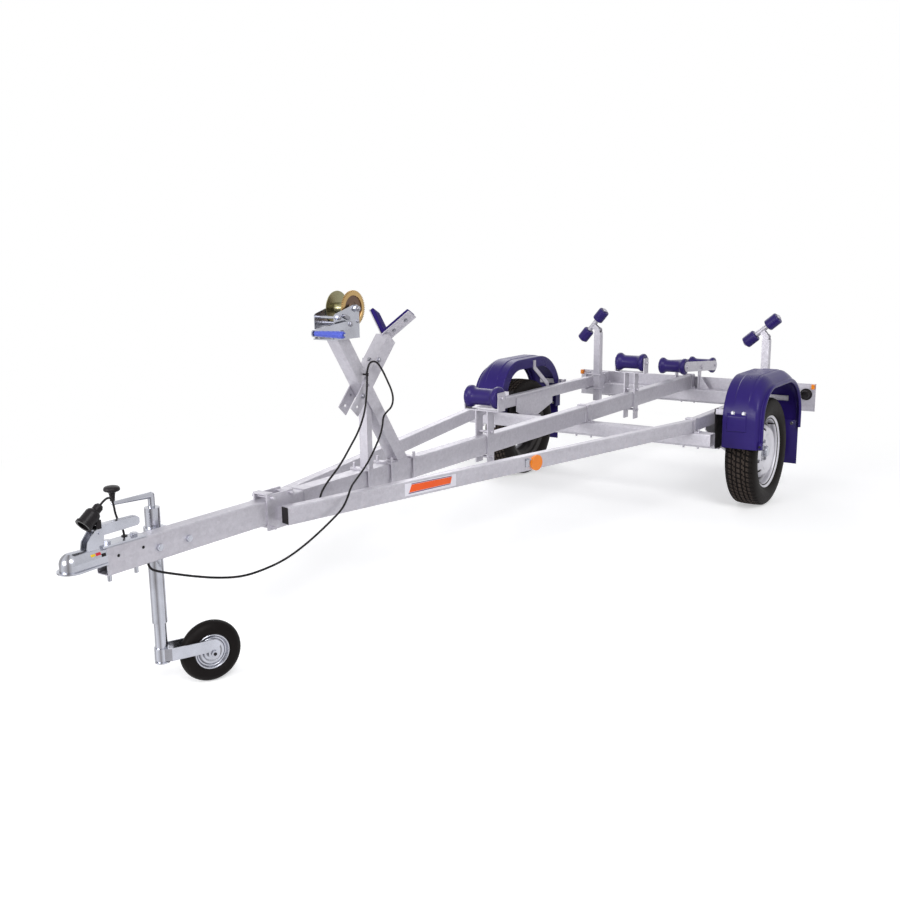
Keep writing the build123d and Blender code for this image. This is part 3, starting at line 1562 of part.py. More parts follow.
fork = rod_z(0, 0, fork_z[0], fork_z[1], fork_sleeve_diameter)
for side in (1, -1):
    fork_side = plate_xy(
        [
            (-fork_sleeve_diameter / 2 + 8, side * 16.0),
            (0, side * 22.0),
            (-20, side * (fork_inner + fork_plate)),
            (-fork_length, side * (fork_inner + fork_plate)),
            (-fork_length, side * fork_inner),
            (-fork_sleeve_diameter / 2 - 2, side * fork_inner),
        ],
        fork_z[0],
        fork_z[1],
    )
    end_y = side * (fork_inner + fork_plate / 2)
    fork_end = rod_y(-fork_length, (fork_z[0] + fork_z[1]) / 2, end_y - fork_plate / 2, end_y + fork_plate / 2, 38.0)
    fork_end += rod_y(-fork_length, jockey_z, end_y - fork_plate / 2, end_y + fork_plate / 2, 36.0)
    fork += fork_side + fork_end
fork -= rod_z(0, 0, fork_z[0] - 1, fork_z[1] + 1, sleeve_bore)
fork += rod_y(-fork_length, jockey_z, -fork_inner - fork_plate - 7, fork_inner + fork_plate + 7, jockey_pin_diameter)
for side in (1, -1):
    nut = Rot(90, 0, 0) * extrude(RegularPolygon(11, 6), 3, both=True)
    fork += Pos(-fork_length, side * (fork_inner + fork_plate + 3), jockey_z) * nut
fork_place = Pos(jack_x, jack_y, 0) * Rot(0, 0, fork_heading)
save("jack_fork", fork_place * fork)

jockey_place = fork_place * Pos(-fork_length, 0, jockey_z)
half_width = jockey_width / 2
jockey_tyre = spin_y(
    [
        (jockey_rim_diameter / 2, -half_width + 5),
        (jockey_rim_diameter / 2 + 8, -half_width),
        (jockey_diameter / 2 - 16, -half_width),
        (jockey_diameter / 2 - 5, -half_width + 5),
        (jockey_diameter / 2 - 1, -half_width + 13),
        (jockey_diameter / 2, 0),
        (jockey_diameter / 2 - 1, half_width - 13),
        (jockey_diameter / 2 - 5, half_width - 5),
        (jockey_diameter / 2 - 16, half_width),
        (jockey_rim_diameter / 2 + 8, half_width),
        (jockey_rim_diameter / 2, half_width - 5),
    ],
    0,
    0,
    0,
)
save("jockey_tyre", jockey_place * jockey_tyre)
rim_outer = jockey_rim_diameter / 2 - seat_gap
jockey_bore = jockey_pin_diameter + 2 * run_gap
jockey_rim = spin_y(
    [
        (jockey_bore / 2, -fork_inner + 2),
        (15, -fork_inner + 2),
        (17, -12),
        (34, -8),
        (44, -17),
        (rim_outer, -17),
        (rim_outer, 17),
        (44, 17),
        (34, 8),
        (17, 12),
        (15, fork_inner - 2),
        (jockey_bore / 2, fork_inner - 2),
    ],
    0,
    0,
    0,
)
save("jockey_rim", jockey_place * jockey_rim)

# ---------------------------------------------------------- lamps and plate
lamp_x = board_front_x - board_thickness - seat_gap
lamp_y = 600.0
lamp_size = (52.0, 210.0, 96.0)
lamp_z = 432.0
lamp_rim = 4.0
lens_depth = 9.0
housing = block(
    (lamp_x - lamp_size[0] + lens_depth, lamp_y - lamp_size[1] / 2, lamp_z - lamp_size[2] / 2),
    (lamp_x, lamp_y + lamp_size[1] / 2, lamp_z + lamp_size[2] / 2),
)
housing = fillet(housing.edges().filter_by(Axis.X), 12)
save("tail_lamps", housing + flip(housing))
lens_x = lamp_x - lamp_size[0] + lens_depth - seat_gap
lens = block(
    (lens_x - lens_depth, lamp_y - lamp_size[1] / 2 + lamp_rim, lamp_z - lamp_size[2] / 2 + lamp_rim),
    (lens_x, lamp_y + lamp_size[1] / 2 - lamp_rim, lamp_z + lamp_size[2] / 2 - lamp_rim),
)
lens = fillet(lens.edges().filter_by(Axis.X), 9)
save("tail_lenses", lens + flip(lens))

plate_size = (2.0, 520.0, 110.0)
plate_z = 430.0
number_plate = block(
    (lamp_x - plate_size[0], -plate_size[1] / 2, plate_z - plate_size[2] / 2),
    (lamp_x, plate_size[1] / 2, plate_z + plate_size[2] / 2),
)
save("number_plate", number_plate)

# Amber side markers: one on each rail, and a small one at each board end.
rail_marker_x = 1625.0
rail_marker_z = 471.0
rail_marker_diameter = 62.0
rail_marker_depth = 9.0
rail_turn = -math.degrees(math.atan(rail_slope))
rail_marker_y = rail_front_y + (rail_front_x - rail_marker_x) * rail_slope
marker = rod_y(0, 0, rail_width / 2 + seat_gap, rail_width / 2 + seat_gap + rail_marker_depth, rail_marker_diameter)
marker = Pos(rail_marker_x, rail_marker_y, rail_marker_z) * Rot(0, 0, rail_turn) * marker
end_marker_size = (44.0, 16.0, 26.0)
end_marker_y = board_half - end_marker_size[1] - 4
end_marker = block(
    (board_front_x + seat_gap, end_marker_y, board_top - end_marker_size[2]),
    (board_front_x + seat_gap + end_marker_size[0] / 2, end_marker_y + end_marker_size[1], board_top),
)
save("side_markers", marker + flip(marker) + end_marker + flip(end_marker))

# --------------------------------------------------------------------- cords
# The lamps' cable hangs in one loose loop beside the winch stand; its first
# and last ends stand inside the beam. The short lead joins the plug.
lamp_cable_diameter = 7.0
lamp_cable_route = [
    (2590, 22, 457),
    (2590, 46, 457),
    (2584, 62, 475),
    (2574, 65, 512),
    (2536, 61, 540),
    (2490, 59, 567),
    (2448, 57, 598),
    (2406, 55, 637),
    (2366, 52, 671),
    (2333, 48, 708),
    (2309, 45, 749),
    (2294, 42, 800),
    (2288, 41, 850),
    (2288, 42, 888),
    (2274, 45, 916),
    (2241, 48, 914),
    (2213, 50, 882),
    (2184, 50, 838),
    (2158, 48, 800),
    (2144, 44, 766),
    (2155, 43, 738),
    (2185, 45, 727),
    (2212, 48, 712),
    (2220, 51, 680),
    (2243, 56, 646),
    (2280, 62, 611),
    (2325, 72, 578),
    (2378, 86, 553),
    (2438, 104, 534),
    (2495, 128, 523),
    (2538, 151, 503),
    (2570, 154, 468),
    (2616, 144, 437),
    (2668, 132, 405),
    (2731, 119, 372),
    (2805, 108, 346),
    (2884, 98, 335),
    (2963, 86, 332),
    (3040, 70, 346),
    (3112, 50, 367),
    (3177, 30, 390),
    (3222, 17, 407),
    (3252, 8, 424),
    (3252, 8, 454),
]
plug_cable_diameter = 6.0
plug_cable_route = [
    (3387.8, 0, 637.2),
    (3369.5, -1.2, 651.6),
    (3346, -7, 649),
    (3334, -14, 625),
    (3327, -20, 599),
    (3318, -20, 572),
    (3306, -15, 545),
    (3306, -15, 515),
]
arc_share = 0.45


def cord_tube(name, route, diameter):
    """A round cord along straight runs joined by arcs as large as the runs allow."""
    points = [Vector(*point) for point in route]
    runs = [(b - a).length for a, b in zip(points, points[1:])]
    radii = []
    for index in range(1, len(points) - 1):
        into = points[index] - points[index - 1]
        away = points[index + 1] - points[index]
        half_turn = math.radians(into.get_angle(away)) / 2
        radii.append(arc_share * min(runs[index - 1], runs[index]) / math.tan(half_turn))
    path = FilletPolyline(*points, radius=radii)
    tube = sweep(Plane(origin=path @ 0, z_dir=path % 0) * Circle(diameter / 2), path=path)
    wanted = math.pi * diameter**2 / 4 * path.length
    print(name, "radii", " ".join("%.0f" % radius for radius in radii))
    print(name, "length %.1f" % path.length, "volume share %.4f" % (tube.volume / wanted))
    save(name, tube)


cord_tube("lamp_cable", lamp_cable_route, lamp_cable_diameter)
cord_tube("plug_cable", plug_cable_route, plug_cable_diameter)

# A rubber grommet sits in each hole that a cord goes through.
grommet_body_diameter = cable_hole_diameter - 2 * seat_gap
grommet_flange_diameter = 17.0
grommet_flange = 2.0


def grommet(depth, cord_diameter):
    """A flanged ring whose flange lies on the plane z = 0 and whose body goes down from it."""
    ring = rod_z(0, 0, seat_gap, seat_gap + grommet_flange, grommet_flange_diameter)
    ring += rod_z(0, 0, -depth, seat_gap + grommet_flange, grommet_body_diameter)
    return ring - rod_z(0, 0, -depth - 1, 10, cord_diameter + 2 * seat_gap)


side_grommet = Pos(side_cable_hole[0], beam_width / 2, side_cable_hole[1]) * Rot(-90, 0, 0) * grommet(
    tube_wall, lamp_cable_diameter
)
lower_grommet = Pos(lower_cable_hole[0], lower_cable_hole[1], frame_underside) * Rot(180, 0, 0) * grommet(
    tube_wall, lamp_cable_diameter
)
top_grommet = Pos(top_cable_hole[0], top_cable_hole[1], coupler_strap_top) * grommet(
    coupler_strap_top - beam_top + tube_wall, plug_cable_diameter
)
save("cable_grommets", side_grommet + lower_grommet + top_grommet)
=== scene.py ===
# %% [markdown]
# # Dressing a boat trailer
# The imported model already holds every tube, bracket and wheel at its true size.
# This lesson gives each of them its finish, and adds what is too fine or too
# soft for the solids: tyre tread, moulded mudguards, bolts, welds and cables.
# All lengths are in metres, and the X axis points forward to the coupler.

# %% Load the frame
import json
import math
import bpy
import numpy as np
from mathutils import Matrix


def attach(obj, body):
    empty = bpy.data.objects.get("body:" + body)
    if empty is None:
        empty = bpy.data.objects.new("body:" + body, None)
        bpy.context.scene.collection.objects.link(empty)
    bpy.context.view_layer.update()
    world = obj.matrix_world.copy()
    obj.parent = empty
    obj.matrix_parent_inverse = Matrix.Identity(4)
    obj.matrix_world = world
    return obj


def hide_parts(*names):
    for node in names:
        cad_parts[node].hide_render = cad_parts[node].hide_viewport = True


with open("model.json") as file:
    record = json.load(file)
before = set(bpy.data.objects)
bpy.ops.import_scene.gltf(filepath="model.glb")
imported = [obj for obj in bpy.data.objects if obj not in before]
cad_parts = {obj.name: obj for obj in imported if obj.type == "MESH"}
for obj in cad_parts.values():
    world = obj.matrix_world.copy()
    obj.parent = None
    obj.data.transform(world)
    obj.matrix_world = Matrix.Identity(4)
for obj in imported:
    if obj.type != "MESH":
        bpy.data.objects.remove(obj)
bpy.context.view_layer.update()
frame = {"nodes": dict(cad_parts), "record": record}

# %% [markdown]
# ## Places
# The drawings of the trailer measure in millimetres from the floor under the
# axle. One helper turns such a place into the frame's metres, so a bolt can be
# named by the same numbers as the bracket that it holds.

# %% Places in the trailer's own numbers
MIDDLE = 1.2175  # metres from the axle forward to the frame's origin
AXLE_HEIGHT = 273.5


def at(x, y, z):
    """A place in millimetres from under the axle, as metres in the frame."""
    return np.array([x / 1000 - MIDDLE, y / 1000, z / 1000])


print("axle at", at(0, 0, AXLE_HEIGHT))

# %% [markdown]
# ## Camera
# The camera stands off the left front corner, a little above the winch, and
# looks back along the drawbar. Its three axes come from yaw, pitch and roll, and
# they are the columns of its matrix.

# %% Camera
CAMERA_PLACE = (3.8383, 2.2961, 1.3184)
YAW, PITCH, ROLL = (math.radians(angle) for angle in (-145.441, 11.423, -0.681))
FOCAL_PIXELS, IMAGE_SIDE, SENSOR = 1023.5, 900, 36.0


def added(name, data):
    """A new object in the scene, at the origin."""
    made = bpy.data.objects.new(name, data)
    bpy.context.scene.collection.objects.link(made)
    return made


ahead = np.array([math.cos(YAW) * math.cos(PITCH), math.sin(YAW) * math.cos(PITCH), -math.sin(PITCH)])
level = np.array([math.sin(YAW), -math.cos(YAW), 0.0])
upright = np.cross(level, ahead)
across = level * math.cos(ROLL) + upright * math.sin(ROLL)
above = upright * math.cos(ROLL) - level * math.sin(ROLL)
camera_data = bpy.data.cameras.new("camera")
camera_data.sensor_width = SENSOR
camera_data.lens = FOCAL_PIXELS / IMAGE_SIDE * SENSOR
camera_data.clip_end = 60.0
camera = added("camera", camera_data)
stance = np.eye(4)
stance[:3, :] = np.column_stack([across, above, -ahead, CAMERA_PLACE])
camera.matrix_world = Matrix(stance)
bpy.context.scene.camera = camera
bpy.context.scene.view_settings.view_transform = "Standard"
print("lens", round(camera_data.lens, 2), "mm")

# %% [markdown]
# ## Shader maths
# A finish is mostly arithmetic: a cloud pattern times a strength, plus a base
# value. Node trees hide that in boxes and wires, so a small class wraps one
# socket and lets Python's own operators add the Math nodes. Any other node comes
# from one function that sets the node's own settings first and then its sockets.

# %% Numbers and finishes
class Number:
    """A value that changes over a surface; arithmetic on it adds Math nodes."""

    def __init__(self, finish, socket):
        self.finish, self.socket = finish, socket

    def __add__(self, other):
        return self.finish.math("ADD", self, other)

    def __mul__(self, other):
        return self.finish.math("MULTIPLY", self, other)

    def __sub__(self, other):
        return self.finish.math("SUBTRACT", self, other)

    def __rsub__(self, other):
        return self.finish.math("SUBTRACT", other, self)

    def __pow__(self, other):
        return self.finish.math("POWER", self, other)


def node(tree, kind, settings=None, inputs=None):
    """Any shader node: its settings first, then the values or links of its sockets."""
    made = tree.nodes.new(kind)
    for key, value in (settings or {}).items():
        setattr(made, key, value)
    for key, value in (inputs or {}).items():
        value = value.socket if isinstance(value, Number) else value
        if isinstance(value, bpy.types.NodeSocket):
            tree.links.new(value, made.inputs[key])
        else:
            made.inputs[key].default_value = value
    return made


def emptied(owner):
    """The node tree of a material or of the world, with nothing in it."""
    owner.use_nodes = True
    owner.node_tree.nodes.clear()
    return owner.node_tree


class Finish:
    """One material: a Principled shader, and the nodes that feed it."""

    def __init__(self, name, base, roughness, metallic=0.0, **fixed):
        self.material = bpy.data.materials.new(name)
        self.tree = emptied(self.material)
        values = {"Base Color": (*base, 1), "Roughness": roughness, "Metallic": metallic}
        values.update((socket.replace("_", " "), value) for socket, value in fixed.items())
        self.shader = self.node("ShaderNodeBsdfPrincipled", {}, values)
        self.node("ShaderNodeOutputMaterial", {}, {0: self.shader.outputs[0]})
        self.place = self.node("ShaderNodeTexCoord").outputs["Object"]

    def node(self, *what):
        return node(self.tree, *what)

    def math(self, operation, *values):
        """A Math node over numbers and Numbers."""
        made = self.node("ShaderNodeMath", {"operation": operation}, dict(enumerate(values)))
        return Number(self, made.outputs[0])

    def stretched(self, scale):
        """Object coordinates with each axis scaled, so a pattern runs along a piece."""
        return self.node("ShaderNodeMapping", {}, {"Vector": self.place, "Scale": scale}).outputs[0]

    def clouds(self, scale, detail=3.0, place=None):
        """Soft noise from 0 to 1 with so many cells in a metre."""
        inputs = {"Vector": place or self.place, "Scale": scale, "Detail": detail}
        return Number(self, self.node("ShaderNodeTexNoise", {}, inputs).outputs[0])

    def red(self, colour):
        """The first channel of a colour as a Number."""
        return Number(self, self.node("ShaderNodeSeparateColor", {}, {"Color": colour}).outputs[0])

    def crystals(self, scale):
        """A flat random value from 0 to 1 in each cell of a crystal pattern."""
        cells = self.node("ShaderNodeTexVoronoi", {}, {"Vector": self.place, "Scale": scale})
        return self.red(cells.outputs["Color"])

    def steps(self, value, stops):
        """A ramp of grey shades over a Number, for sharp-edged patches."""
        made = self.node("ShaderNodeValToRGB", {}, {"Fac": value})
        elements = made.color_ramp.elements
        while len(elements) < len(stops):
            elements.new(0.5)
        for element, (position, shade) in zip(elements, stops):
            element.position, element.color = position, (shade, shade, shade, 1)
        return self.red(made.outputs[0])

    def blend(self, first, second, share):
        """A colour between two colours, by a Number; the first may be a socket."""
        first = (*first, 1) if isinstance(first, tuple) else first
        inputs = {0: share, 6: first, 7: (*second, 1)}
        return self.node("ShaderNodeMix", {"data_type": "RGBA"}, inputs).outputs[2]

    def colour(self, socket):
        self.tree.links.new(socket, self.shader.inputs["Base Color"])

    def set(self, name, value):
        self.tree.links.new(value.socket, self.shader.inputs[name])

    def heading(self):
        """Which way a face points round the upright axis, from 0 to 1, and if it is upright."""
        normal = self.tree.nodes["Texture Coordinate"].outputs["Normal"]
        split = self.node("ShaderNodeSeparateXYZ", {}, {"Vector": normal}).outputs
        turn = self.math("ARCTAN2", split["Y"], split["X"]) * (0.5 / math.pi)
        level = self.math("ABSOLUTE", split["Z"])
        return self.math("FRACT", turn + 1.0), self.math("GREATER_THAN", 0.93, level)

    def axis(self, name):
        """One of the object coordinates as a Number."""
        split = self.node("ShaderNodeSeparateXYZ", {}, {"Vector": self.place})
        return Number(self, split.outputs[name])

    def bump(self, height, depth):
        """Relief from a Number; depth in metres is the height of a full step."""
        made = self.node("ShaderNodeBump", {}, {"Height": height, "Distance": depth, "Strength": 1.0})
        self.tree.links.new(made.outputs[0], self.shader.inputs["Normal"])


print("shader helpers ready")

# %% [markdown]
# ## Steel finishes
# Hot-dip galvanised steel is dull and pale. Zinc crystals of about a centimetre
# show as faint patches, drips leave softer clouds, and handling leaves rough
# spots. Plated parts such as the jack and the coupler are smoother. The room that
# they would mirror is a painted reflection in their base colour: broad, slightly
# blue bands, set by which way each face points.

# %% Galvanised steel and zinc plating
STEEL_LIGHT, STEEL_DARK = (0.60, 0.582, 0.635), (0.40, 0.386, 0.43)


def galvanised_steel():
    """Base colour and roughness from crystals (fine) plus clouds (broad)."""
    steel = Finish("galvanised_steel", STEEL_LIGHT, 0.42, 0.62)
    crystal = steel.crystals(85.0) * 0.6 + steel.crystals(190.0) * 0.4
    cloud = steel.clouds(5.0, 5.0)
    streak = steel.clouds(3.0, 4.0, steel.stretched((0.4, 4.0, 14.0)))
    patch = crystal * 0.35 + cloud * 0.45 + streak * 0.45
    steel.colour(steel.blend(STEEL_LIGHT, STEEL_DARK, patch - 0.12))
    steel.set("Roughness", crystal * 0.14 + cloud * 0.18 + 0.30)
    steel.bump(crystal * 0.3 + steel.clouds(260.0, 2.0) * 0.7, 0.00025)
    return steel.material


# heading of a face (one turn is 1) and how bright the painted reflection of the room is that way
PAINTED_ROOM_REFLECTION = (
    (0.0, 0.86), (0.05, 0.92), (0.10, 0.62), (0.125, 0.36), (0.15, 0.62), (0.18, 0.92), (0.24, 0.86),
    (0.278, 0.90), (0.290, 0.34), (0.305, 0.28), (0.325, 0.80), (0.40, 0.95), (0.47, 0.40), (0.52, 0.74),
    (0.62, 0.92), (0.75, 0.80), (0.80, 0.34), (0.84, 0.86), (0.96, 0.56),
)
# painted shade lies in the wheels as far out from the middle plane as this, and fades out over 1 / 80 m
INNER_SHADE_END, INNER_SHADE_EDGE = 0.709, 80.0


def plated_steel(name, light, dark, roughness, room=1.0, metallic=0.95, far_tint=None, dust_and_shade=None):
    """Smooth plating with a painted reflection of a room: bright and dark bands in its base colour.

    The share of the dark tone is clouds plus the painted reflection's strength * (1 - brightness
    of the room), and the room's brightness is read from which way an upright face points.
    far_tint is the light tone on the right-hand side, and the last tone is painted shade
    on the inner part of each wheel, behind the vents.
    """
    plate = Finish(name, light, roughness, metallic)
    cloud = plate.clouds(14.0, 4.0)
    scratch = plate.clouds(60.0, 3.0, plate.stretched((1.0, 6.0, 9.0)))
    turn, upright = plate.heading()
    # painted reflection: upright faces that point towards a dark band of the room take the dark tone
    shade = (1.0 - plate.steps(turn + cloud * 0.02, PAINTED_ROOM_REFLECTION)) * upright * room
    tint = light
    if far_tint:
        tint = plate.blend(far_tint, light, plate.math("GREATER_THAN", plate.axis("Y"), 0.0))
    tint = plate.blend(tint, dark, plate.math("MINIMUM", cloud * 0.5 - 0.12 + shade, 1.0))
    # painted shade: the inner part of each wheel, behind the vents, goes nearly black
    if dust_and_shade:
        unshaded = (plate.math("ABSOLUTE", plate.axis("Y")) - INNER_SHADE_END) * INNER_SHADE_EDGE
        share = plate.math("MAXIMUM", 1.0 - plate.math("MAXIMUM", unshaded, 0.0), 0.0)
        tint = plate.blend(tint, dust_and_shade, share)
    plate.colour(tint)
    plate.set("Roughness", scratch * 0.16 + (roughness - 0.06))
    plate.bump(plate.clouds(70.0, 2.0), 0.0001)
    return plate.material


GALVANISED = galvanised_steel()
# each plated finish below has the room's painted reflection in its base colour
BRIGHT_ZINC = plated_steel("bright_zinc", (0.57, 0.585, 0.655), (0.080, 0.070, 0.067), 0.20)
BOLT_ZINC = plated_steel("bolt_zinc", (0.40, 0.40, 0.45), (0.09, 0.085, 0.085), 0.36)
WEB_ZINC = plated_steel("web_zinc", (0.17, 0.11, 0.08), (0.05, 0.035, 0.03), 0.32)
YELLOW_ZINC = plated_steel(
    "yellow_zinc", (0.60, 0.40, 0.17), (0.13, 0.10, 0.06), 0.26, far_tint=(0.34, 0.33, 0.20)
)
# the wheels' silver has a weaker painted reflection, and painted shade on its inner part
SILVER = plated_steel(
    "wheel_silver", (0.74, 0.73, 0.78), (0.40, 0.39, 0.42), 0.42, 0.4, 0.45, dust_and_shade=(0.035, 0.031, 0.030)
)
print("steel finishes ready")

# %% [markdown]
# ## Mouldings and rubber
# The mudguards and the keel rollers are the same deep indigo, but the guards are
# smooth plastic and the rollers are a slightly waxy rubber. Black parts differ
# mostly in gloss. A moulded surface is never perfectly even, so each finish has
# a fine grain in its relief and slow clouds in its roughness.

# %% Plastics and rubbers
def moulded(name, base, second, roughness, grain, depth, shine=0.3):
    """Moulded plastic or rubber: a tint in clouds, an uneven gloss and a grain."""
    resin = Finish(name, base, roughness, 0.0, Specular_IOR_Level=shine)
    cloud = resin.clouds(7.0, 4.0)
    resin.colour(resin.blend(base, second, cloud))
    resin.set("Roughness", cloud * 0.16 + resin.clouds(150.0) * 0.08 + (roughness - 0.12))
    resin.bump(resin.clouds(grain, 2.0), depth)
    return resin.material


# name, tint, second tint, roughness, cells of the grain in a metre, its depth, gloss
MOULDINGS = (
    ("guard_indigo", (0.017, 0.008, 0.108), (0.028, 0.015, 0.145), 0.30, 900.0, 0.0001, 0.17),
    ("roller_indigo", (0.018, 0.009, 0.100), (0.030, 0.017, 0.145), 0.34, 700.0, 0.0002, 0.22),
    ("grip_blue", (0.050, 0.075, 0.40), (0.080, 0.11, 0.52), 0.30, 800.0, 0.0001, 0.35),
    ("black_plastic", (0.008, 0.007, 0.008), (0.018, 0.015, 0.017), 0.36, 700.0, 0.0002, 0.16),
    ("black_paint", (0.008, 0.007, 0.008), (0.018, 0.016, 0.018), 0.46, 350.0, 0.0003, 0.12),
    ("cable_black", (0.010, 0.009, 0.010), (0.020, 0.018, 0.019), 0.46, 500.0, 0.0001, 0.12),
    ("jockey_rubber", (0.005, 0.004, 0.004), (0.011, 0.009, 0.009), 0.46, 380.0, 0.0003, 0.07),
    ("pad_indigo", (0.018, 0.009, 0.105), (0.026, 0.014, 0.135), 0.72, 500.0, 0.0002, 0.06),
)
GUARD_BLUE, ROLLER_BLUE, GRIP_BLUE, BLACK_PLASTIC, BLACK_STEEL, CABLE_BLACK, JOCKEY_RUBBER, PAD_BLUE = (
    moulded(*values) for values in MOULDINGS
)
DUSTY_FROM, RUBBER = 0.2712, (0.007, 0.006, 0.006)


def road_rubber():
    """Black rubber, dusty on the tread blocks.

    The distance from the wheels' axis is the root of x squared plus z squared,
    both measured from the axis; the rubber is dusty where it is over 271 mm.
    """
    rubber = Finish("tyre_rubber", RUBBER, 0.60, 0.0, Specular_IOR_Level=0.08)
    across, up = rubber.axis("X") + MIDDLE, rubber.axis("Z") - AXLE_HEIGHT / 1000
    distance = (across * across + up * up) ** 0.5
    dust_and_shade = rubber.math("GREATER_THAN", distance, DUSTY_FROM) * (rubber.clouds(45.0, 4.0) * 0.8 + 0.10)
    rubber.colour(rubber.blend(RUBBER, (0.095, 0.074, 0.062), dust_and_shade + rubber.clouds(9.0) * 0.10))
    rubber.set("Roughness", dust_and_shade * 0.2 + rubber.clouds(60.0) * 0.12 + 0.50)
    rubber.bump(rubber.clouds(420.0, 2.0), 0.0004)
    return rubber.material


TYRE = road_rubber()
print("mouldings ready")

# %% [markdown]
# ## Lamps and the plate
# Lenses are clear coloured plastic with a pattern of small prisms moulded on
# their inner side. Here the prisms are a fine ribbed relief under a glossy coat,
# which reads the same from a few steps away. The number plate is bare white.

# %% Lenses and plate
def lens(name, base, second):
    """Coloured lens plastic with rows of fine ribs."""
    clear = Finish(name, base, 0.16, 0.0, Coat_Weight=0.25, Coat_Roughness=0.08, Specular_IOR_Level=0.3)
    rows = clear.node("ShaderNodeTexWave", {}, {"Vector": clear.place, "Scale": 120.0, "Distortion": 0.0})
    ribs = Number(clear, rows.outputs["Fac"])
    clear.colour(clear.blend(base, second, ribs * 0.5 + clear.clouds(30.0) * 0.4))
    clear.bump(ribs, 0.0004)
    return clear.material


AMBER = lens("amber_lens", (1.0, 0.30, 0.012), (0.80, 0.17, 0.006))
RED = lens("red_lens", (0.55, 0.010, 0.008), (0.30, 0.004, 0.004))
plate = Finish("plate_white", (0.80, 0.80, 0.78), 0.35)
plate.colour(plate.blend((0.82, 0.82, 0.80), (0.72, 0.72, 0.71), plate.clouds(9.0, 4.0)))
plate.bump(plate.clouds(400.0), 0.00005)
PLATE_WHITE = plate.material
print("lens finishes ready")

# %% [markdown]
# ## Finishing the solids
# Each material slot of the record has its own finish here. A few plated straps
# have gone as dull as the frame, so they share its finish. A node's object is left
# alone apart from the material in its slots.

# %% Give every node its finish
FINISHES = {
    "galvanised": GALVANISED,
    "bright_zinc": BRIGHT_ZINC,
    "yellow_zinc": YELLOW_ZINC,
    "indigo_plastic": GUARD_BLUE,
    "indigo_rubber": ROLLER_BLUE,
    "black_plastic": BLACK_PLASTIC,
    "black_steel": BLACK_STEEL,
    "tyre_rubber": TYRE,
    "silver_paint": SILVER,
    "grip_blue": GRIP_BLUE,
    "amber": AMBER,
    "red_lens": RED,
    "plate_white": PLATE_WHITE,
}
FINISH_OF_NODE = dict.fromkeys(("straps", "guard_arms", "saddle_clamps"), GALVANISED)
slot_of = {part["node"]: part["material_slot"] for part in frame["record"]["subparts"]}
for name, solid in frame["nodes"].items():
    solid.data.materials.clear()
    solid.data.materials.append(FINISH_OF_NODE.get(name, FINISHES[slot_of[name]]))
print("finished", len(frame["nodes"]), "nodes")

# %% [markdown]
# ## Floor, light and background
# Steel needs something to mirror. A pale floor and a white world give it that,
# and the world fills the shadows too. Seen directly or in a reflection both are
# plain white: a Light Path node tells those rays from the ones that carry light.

# %% Floor
FLOOR_HALF, WHITE = 30.0, (1, 1, 1, 1)
corners = [(x * FLOOR_HALF, y * FLOOR_HALF, 0) for x, y in ((-1, -1), (1, -1), (1, 1), (-1, 1))]
floor_mesh = bpy.data.meshes.new("floor")
floor_mesh.from_pydata(corners, [], [(0, 1, 2, 3)])
floor = added("floor", floor_mesh)


def white_when_seen(tree, plain, shown):
    """Mix two shaders so that camera, glossy and transmission rays see the second."""
    path = node(tree, "ShaderNodeLightPath").outputs
    seen = path["Is Camera Ray"]
    for ray in ("Is Glossy Ray", "Is Transmission Ray"):
        seen = node(tree, "ShaderNodeMath", {"operation": "MAXIMUM"}, {0: seen, 1: path[ray]}).outputs[0]
    return node(tree, "ShaderNodeMixShader", {}, {0: seen, 1: plain, 2: shown}).outputs[0]


print("floor", 2 * FLOOR_HALF, "m wide")

# %% [markdown]
# The floor is a diffuse sheet that keeps the shadow, with a glow of its own so
# that lit floor looks white. Away from the trailer it goes over to plain white,
# by the distance from the middle, and so it meets the background with no line.

# %% Floor finish and world
FADE_START, FADE_END = 2.0, 3.6
floor_paint = bpy.data.materials.new("floor_white")
paint = emptied(floor_paint)
diffuse = node(paint, "ShaderNodeBsdfDiffuse", {}, {"Color": (0.80, 0.80, 0.80, 1)}).outputs[0]
glow = node(paint, "ShaderNodeEmission", {}, {"Color": WHITE, "Strength": 0.42}).outputs[0]
both = node(paint, "ShaderNodeAddShader", {}, {0: diffuse, 1: glow}).outputs[0]
spot = node(paint, "ShaderNodeTexCoord").outputs["Object"]
reach = node(paint, "ShaderNodeVectorMath", {"operation": "LENGTH"}, {0: spot}).outputs["Value"]
fade = node(
    paint,
    "ShaderNodeMapRange",
    {"interpolation_type": "SMOOTHSTEP"},
    {"Value": reach, "From Min": FADE_START, "From Max": FADE_END},
).outputs["Result"]
plain_white = node(paint, "ShaderNodeEmission", {}, {"Color": WHITE, "Strength": 1.0}).outputs[0]
shown = node(paint, "ShaderNodeMixShader", {}, {0: fade, 1: both, 2: plain_white}).outputs[0]
node(paint, "ShaderNodeOutputMaterial", {}, {0: white_when_seen(paint, diffuse, shown)})
floor_mesh.materials.append(floor_paint)

world = bpy.data.worlds.new("studio")
bpy.context.scene.world = world
sky = emptied(world)
fill = node(sky, "ShaderNodeBackground", {}, {"Color": (0.94, 0.95, 1.0, 1), "Strength": 0.34})
backdrop = node(sky, "ShaderNodeBackground", {}, {"Color": WHITE, "Strength": 1.0})
both = white_when_seen(sky, fill.outputs[0], backdrop.outputs[0])
node(sky, "ShaderNodeOutputWorld", {}, {0: both})
print("floor and world ready")

# %% [markdown]
# Three round lamps do the rest. The key lamp stands over the left shoulder and
# gives the faces their order. The front one catches what faces forward, and a
# weak one lifts the far side. Each is turned by a matrix whose third column
# points back from its target, because a lamp shines along its own minus z.

